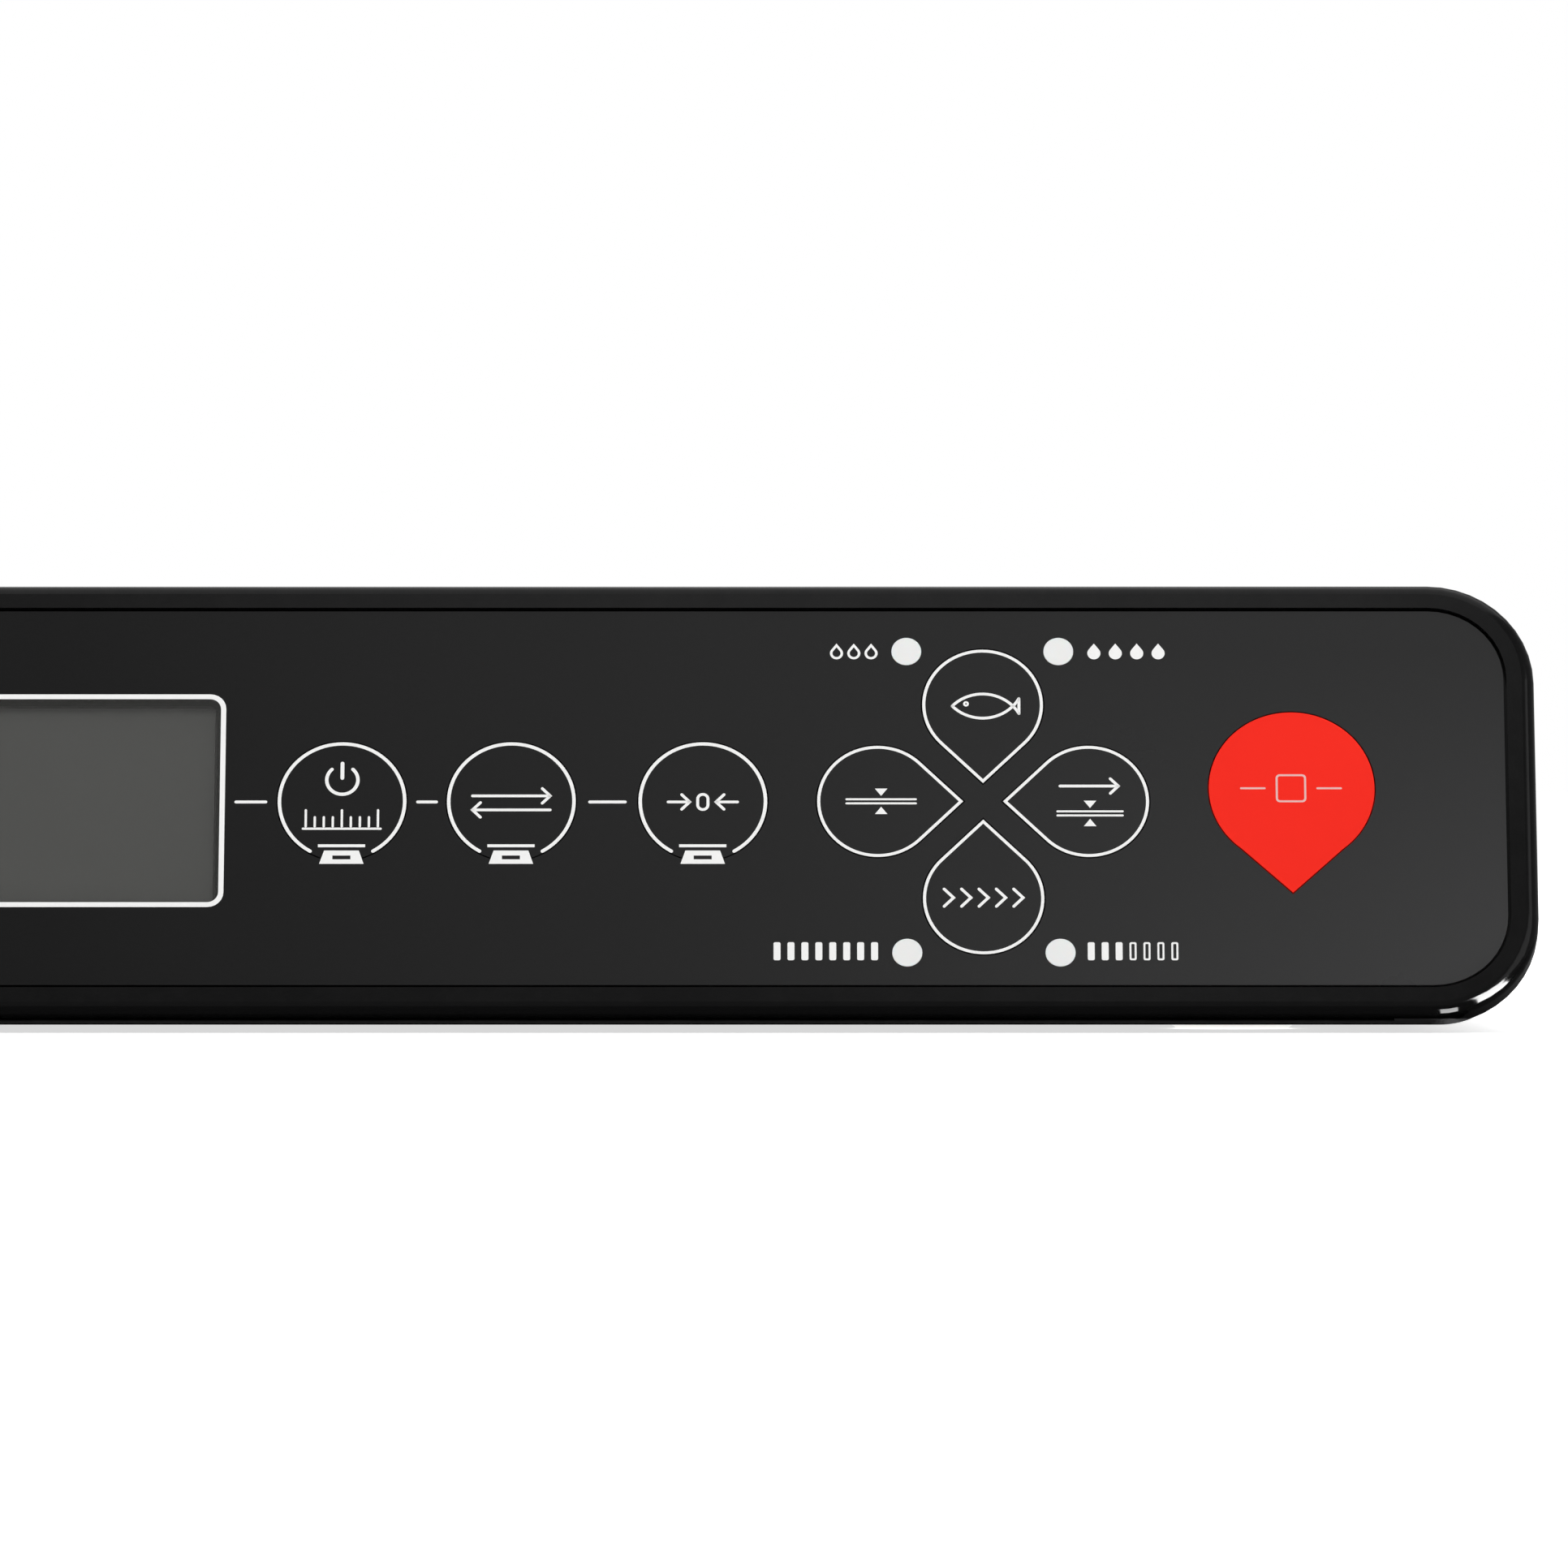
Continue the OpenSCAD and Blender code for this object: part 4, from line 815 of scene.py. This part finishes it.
def flat_plate(loops, matrix, thickness=INK_THICK):
    """Closed plate whose outline and holes are loops of (x, y) points in millimetres."""
    curve = bpy.data.curves.new("outline", "CURVE")
    curve.dimensions = "2D"
    curve.fill_mode = "BOTH"
    curve.extrude = thickness / 2 * MM
    for loop in loops:
        spline = curve.splines.new("POLY")
        spline.points.add(len(loop) - 1)
        spline.use_cyclic_u = True
        for point, (x, y) in zip(spline.points, loop):
            point.co = (x * MM, y * MM, 0, 1)
    plate = bpy.data.objects.new("outline", curve)
    bpy.context.collection.objects.link(plate)
    plate.matrix_world = matrix
    pick(plate)
    bpy.ops.object.convert(target="MESH")
    bpy.ops.object.transform_apply(location=True, rotation=True, scale=True)
    bpy.ops.object.mode_set(mode="EDIT")
    bpy.ops.mesh.select_all(action="SELECT")
    bpy.ops.mesh.remove_doubles(threshold=0.000001)
    bpy.ops.mesh.normals_make_consistent(inside=False)
    bpy.ops.object.mode_set(mode="OBJECT")
    return bpy.context.object


def join(name, plates, material, body):
    deselect()
    for plate in plates:
        plate.select_set(True)
    bpy.context.view_layer.objects.active = plates[0]
    if len(plates) > 1:
        bpy.ops.object.join()
    piece = bpy.context.object
    piece.name = name
    piece.data.name = name
    piece.data.materials.clear()
    piece.data.materials.append(material)
    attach(piece, body)
    return piece


def arc(x, y, radius, start, end, steps=24):
    """Points on an arc, angles in degrees."""
    turns = [math.radians(start + (end - start) * i / steps) for i in range(steps + 1)]
    return [(x + radius * math.cos(t), y + radius * math.sin(t)) for t in turns]


def ring(x, y, outer, inner, steps=72):
    return [arc(x, y, outer, 0, 360, steps)[:-1], arc(x, y, inner, 0, 360, steps)[:-1]]


def line(points, width=STROKE):
    """Outline of a stroke of even width along points, with round ends."""
    half = width / 2
    left, right = [], []
    count = len(points)
    for i, (x, y) in enumerate(points):
        before = points[max(i - 1, 0)]
        after = points[min(i + 1, count - 1)]
        heading = math.atan2(after[1] - before[1], after[0] - before[0])
        reach = half
        if 0 < i < count - 1:
            into = math.atan2(y - before[1], x - before[0])
            reach = half / max(math.cos(heading - into), 0.4)
        side = (-math.sin(heading) * reach, math.cos(heading) * reach)
        left.append((x + side[0], y + side[1]))
        right.append((x - side[0], y - side[1]))
    head = math.degrees(math.atan2(points[-1][1] - points[-2][1], points[-1][0] - points[-2][0]))
    tail = math.degrees(math.atan2(points[0][1] - points[1][1], points[0][0] - points[1][0]))
    tip = arc(*points[-1], half, head + 90, head - 90, 6)[1:-1]
    end = arc(*points[0], half, tail + 90, tail - 90, 6)[1:-1]
    return [left + tip + right[::-1] + end]


def box(x0, y0, x1, y1):
    return [[(x0, y0), (x1, y0), (x1, y1), (x0, y1)]]


def rounded_box(width, height, radius, x=0.0, y=0.0):
    points = []
    for corner, (sx, sy) in enumerate(((1, 1), (-1, 1), (-1, -1), (1, -1))):
        points += arc(x + sx * (width / 2 - radius), y + sy * (height / 2 - radius), radius,
                      corner * 90, corner * 90 + 90, 6)
    return points


def drop_outline(radius, half_angle, turn=0.0, steps=56):
    """Circle drawn out to a point towards -y, then turned."""
    start = -half_angle
    points = arc(0, 0, radius, start, 180 - start, steps)
    points.append((0, -radius / math.sin(math.radians(half_angle))))
    cos, sin = math.cos(math.radians(turn)), math.sin(math.radians(turn))
    return [(x * cos - y * sin, x * sin + y * cos) for x, y in points]


def shifted(loops, dx, dy):
    return [[(x + dx, y + dy) for x, y in loop] for loop in loops]


def print_on(name, body, shapes, u=0.0, v=0.0, material=INK_WHITE):
    """Prints shapes, each a list of loops about (u, v), as one piece that rides on body."""
    height = INK_THICK / 2 - INK_SINK
    plates = [flat_plate(loops, fascia_matrix(u, v, height)) for loops in shapes]
    return join(name, plates, material, body)


ROW_V = -0.65
ROUND_KEYS = {"scale_key": 42.8, "mode_key": 67.2, "tare_key": 94.8}
RING_OUT = 9.28
RING_IN = 8.78
CLOVER_U = 135.2
PETAL_R = 8.72
PETAL_IN = 8.28
PETAL_REACH = 15.2
PETALS = ("food_key", "seal_key", "speed_key", "vacuum_seal_key")
PETAL_ANGLE = 45
STOP_U = 179.6
STOP_V = 1.4
LIGHT_TOP_V = 23.0
LIGHT_LOW_V = -24.1
ARROW_HEAD = 1.15
DROP_R = 0.95
DROP_ANGLE = 38
DROP_HOLLOW = 0.62
BAR_STEP = 2.0


def scale_mark():
    """Small pan scale that sits in the gap of a round key's ring."""
    tray = box(-3.4, -7.2, 3.4, -6.75)
    body = [[(-2.5, -7.72), (2.5, -7.72), (3.2, -9.8), (-3.2, -9.8)], *box(-1.3, -9.1, 1.3, -8.5)]
    return [tray, body]


def open_ring():
    return line(arc(0, 0, (RING_OUT + RING_IN) / 2, -60, 240, 72), RING_OUT - RING_IN)


def power_mark(x, y):
    return [line([(x, y + 0.3), (x, y + 2.6)], 0.55), line(arc(x, y, 2.25, 132, 408, 28), 0.5)]


def graduations():
    """Row of ruler marks on a base line, every fourth one tall."""
    width, base_y, step, count = 0.34, -4.3, 1.3, 9
    marks = [line([(-5.6, base_y), (5.6, base_y)], width)]
    for i in range(count):
        x = (i - (count - 1) / 2) * step
        tall = 2.6 if i % 4 == 0 else 1.5
        marks.append(line([(x, base_y + 0.35), (x, base_y + 0.3 + tall)], width))
    return marks


def arrow(x0, x1, y):
    """Horizontal arrow from x0 to x1."""
    back = -ARROW_HEAD if x1 > x0 else ARROW_HEAD
    return [line([(x0, y), (x1, y)]),
            line([(x1 + back, y + ARROW_HEAD), (x1, y), (x1 + back, y - ARROW_HEAD)])]


def zero(x, y):
    """Numeral zero, as an upright ring with straight sides."""
    width, height, spare = 1.9, 2.8, 0.01
    outer = rounded_box(width, height, width / 2 - spare, x, y)
    inner = rounded_box(width - 2 * STROKE, height - 2 * STROKE, width / 2 - STROKE - spare, x, y)
    return [outer, inner]


def fish(x, y):
    """Plain fish: two arcs that cross at the tail, and an eye."""
    radius, half = 6.0, 47.0
    middle_y = radius * math.cos(math.radians(half))
    upper = arc(x, y - middle_y, radius, 90 + half, 90 - half - 14, 20)
    lower = arc(x, y + middle_y, radius, 270 - half, 270 + half + 14, 20)
    tail = [line([upper[-1], lower[-1]])]
    return [line(upper), line(lower), *tail, ring(x - 2.4, y + 0.35, 0.42, 0.12, 16)]


def chevrons(x, y, count, step):
    """Row of arrow heads that point to the right."""
    size = 1.35
    first = x - (count - 1) * step / 2
    return [line([(first + i * step - size / 2, y + size), (first + i * step + size / 2, y),
                  (first + i * step - size / 2, y - size)]) for i in range(count)]


def seam_mark(x, y, width):
    """Two jaws pressed on a bag's seam: a double line between two small triangles."""
    half, back, tip, apart = 0.9, 2.0, 0.85, 0.32
    left, right = x - width / 2, x + width / 2
    up = [[(x - half, y + back), (x, y + tip), (x + half, y + back)]]
    down = [[(x - half, y - back), (x + half, y - back), (x, y - tip)]]
    return [up, down, line([(left, y + apart), (right, y + apart)], FINE_STROKE),
            line([(left, y - apart), (right, y - apart)], FINE_STROKE)]


def drops(x, y, filled, step):
    """Row of water drops, filled or drawn in outline."""
    first = x - (len(filled) - 1) * step / 2
    shapes = []
    for i, solid in enumerate(filled):
        outline = [(px, -py) for px, py in drop_outline(DROP_R, DROP_ANGLE, 0, 20)]
        inner = [(px * DROP_HOLLOW, py * DROP_HOLLOW) for px, py in outline]
        loops = [outline] if solid else [outline, inner]
        shapes.append(shifted(loops, first + i * step, y - 0.3))
    return shapes


def level_bars(x, y, filled):
    """Row of upright bars, filled for the level that is set."""
    wide, high, edge = 1.0, 2.8, 0.27
    first = x - (len(filled) - 1) * BAR_STEP / 2
    shapes = []
    for i, solid in enumerate(filled):
        loops = [rounded_box(wide, high, 0.25, first + i * BAR_STEP, y)]
        if not solid:
            loops.append(rounded_box(wide - 2 * edge, high - 2 * edge, 0.1, first + i * BAR_STEP, y))
        shapes.append(loops)
    return shapes


def print_round_keys():
    marks = {
        "scale_key": [*power_mark(0, 3.35), *graduations()],
        "mode_key": [*arrow(-5.6, 5.6, 0.85), *arrow(5.6, -5.6, -1.35)],
        "tare_key": [*arrow(-5.0, -1.9, -0.1), zero(0, -0.1), *arrow(5.0, 1.9, -0.1)],
    }
    for key, u in ROUND_KEYS.items():
        print_on(f"{key}_print", key, [open_ring(), *scale_mark(), *marks[key]], u, ROW_V)


def print_clover():
    marks = {
        "food_key": fish(0, -0.2),
        "seal_key": seam_mark(0.5, 0, 10.0),
        "speed_key": chevrons(0, 0.1, 5, 2.5),
        "vacuum_seal_key": [*arrow(-4.1, 4.3, 2.4), *seam_mark(0.2, -1.9, 9.4)],
    }
    for i, key in enumerate(PETALS):
        turn = i * 90
        u = CLOVER_U - PETAL_REACH * math.sin(math.radians(turn))
        v = ROW_V + PETAL_REACH * math.cos(math.radians(turn))
        outline = [drop_outline(PETAL_R, PETAL_ANGLE, turn), drop_outline(PETAL_IN, PETAL_ANGLE, turn)]
        print_on(f"{key}_print", key, [outline, *marks[key]], u, v)


def print_panel():
    """Frame round the display, links between the round keys, legends beside the lights."""
    frame_print = [rounded_box(51.8, 33.4, 2.3, 0, -0.5), rounded_box(50.3, 31.9, 1.6, 0, -0.5)]
    print_on("display_frame_print", "base", [frame_print])
    links = ((27.5, 31.8), (53.7, 56.4), (78.5, 83.6))
    dashes = [line([(start, 0), (end, 0)], 0.45) for start, end in links]
    print_on("link_print", "base", dashes, 0, -0.75)
    legends = [*drops(116.6, LIGHT_TOP_V, (0, 0, 0), 2.5),
               *drops(156.0, LIGHT_TOP_V, (1, 1, 1, 1), 3.1),
               *level_bars(112.5, LIGHT_LOW_V, (1,) * 8),
               *level_bars(156.6, LIGHT_LOW_V, (1, 1, 1, 0, 0, 0, 0))]
    print_on("legend_print", "base", legends)


def print_stop():
    """Square between two dashes, the usual sign for stop."""
    square = [rounded_box(4.4, 4.4, 0.6), rounded_box(3.8, 3.8, 0.35)]
    dashes = [line([(-7.2, 0), (-3.8, 0)], FINE_STROKE), line([(3.8, 0), (7.2, 0)], FINE_STROKE)]
    print_on("stop_key_print", "stop_key", [square, *dashes], STOP_U, STOP_V, INK_PINK)


# ---------- the whole ----------

add_camera()
set_world()
add_floor()
light_the_scene()
place_cards()
dress_nodes()
soften_housings()
soften_rest()
groove_sliders()
fill_lip_corners()
print_round_keys()
print_clover()
print_panel()
print_stop()

bpy.context.scene.view_settings.view_transform = "Standard"
deselect()
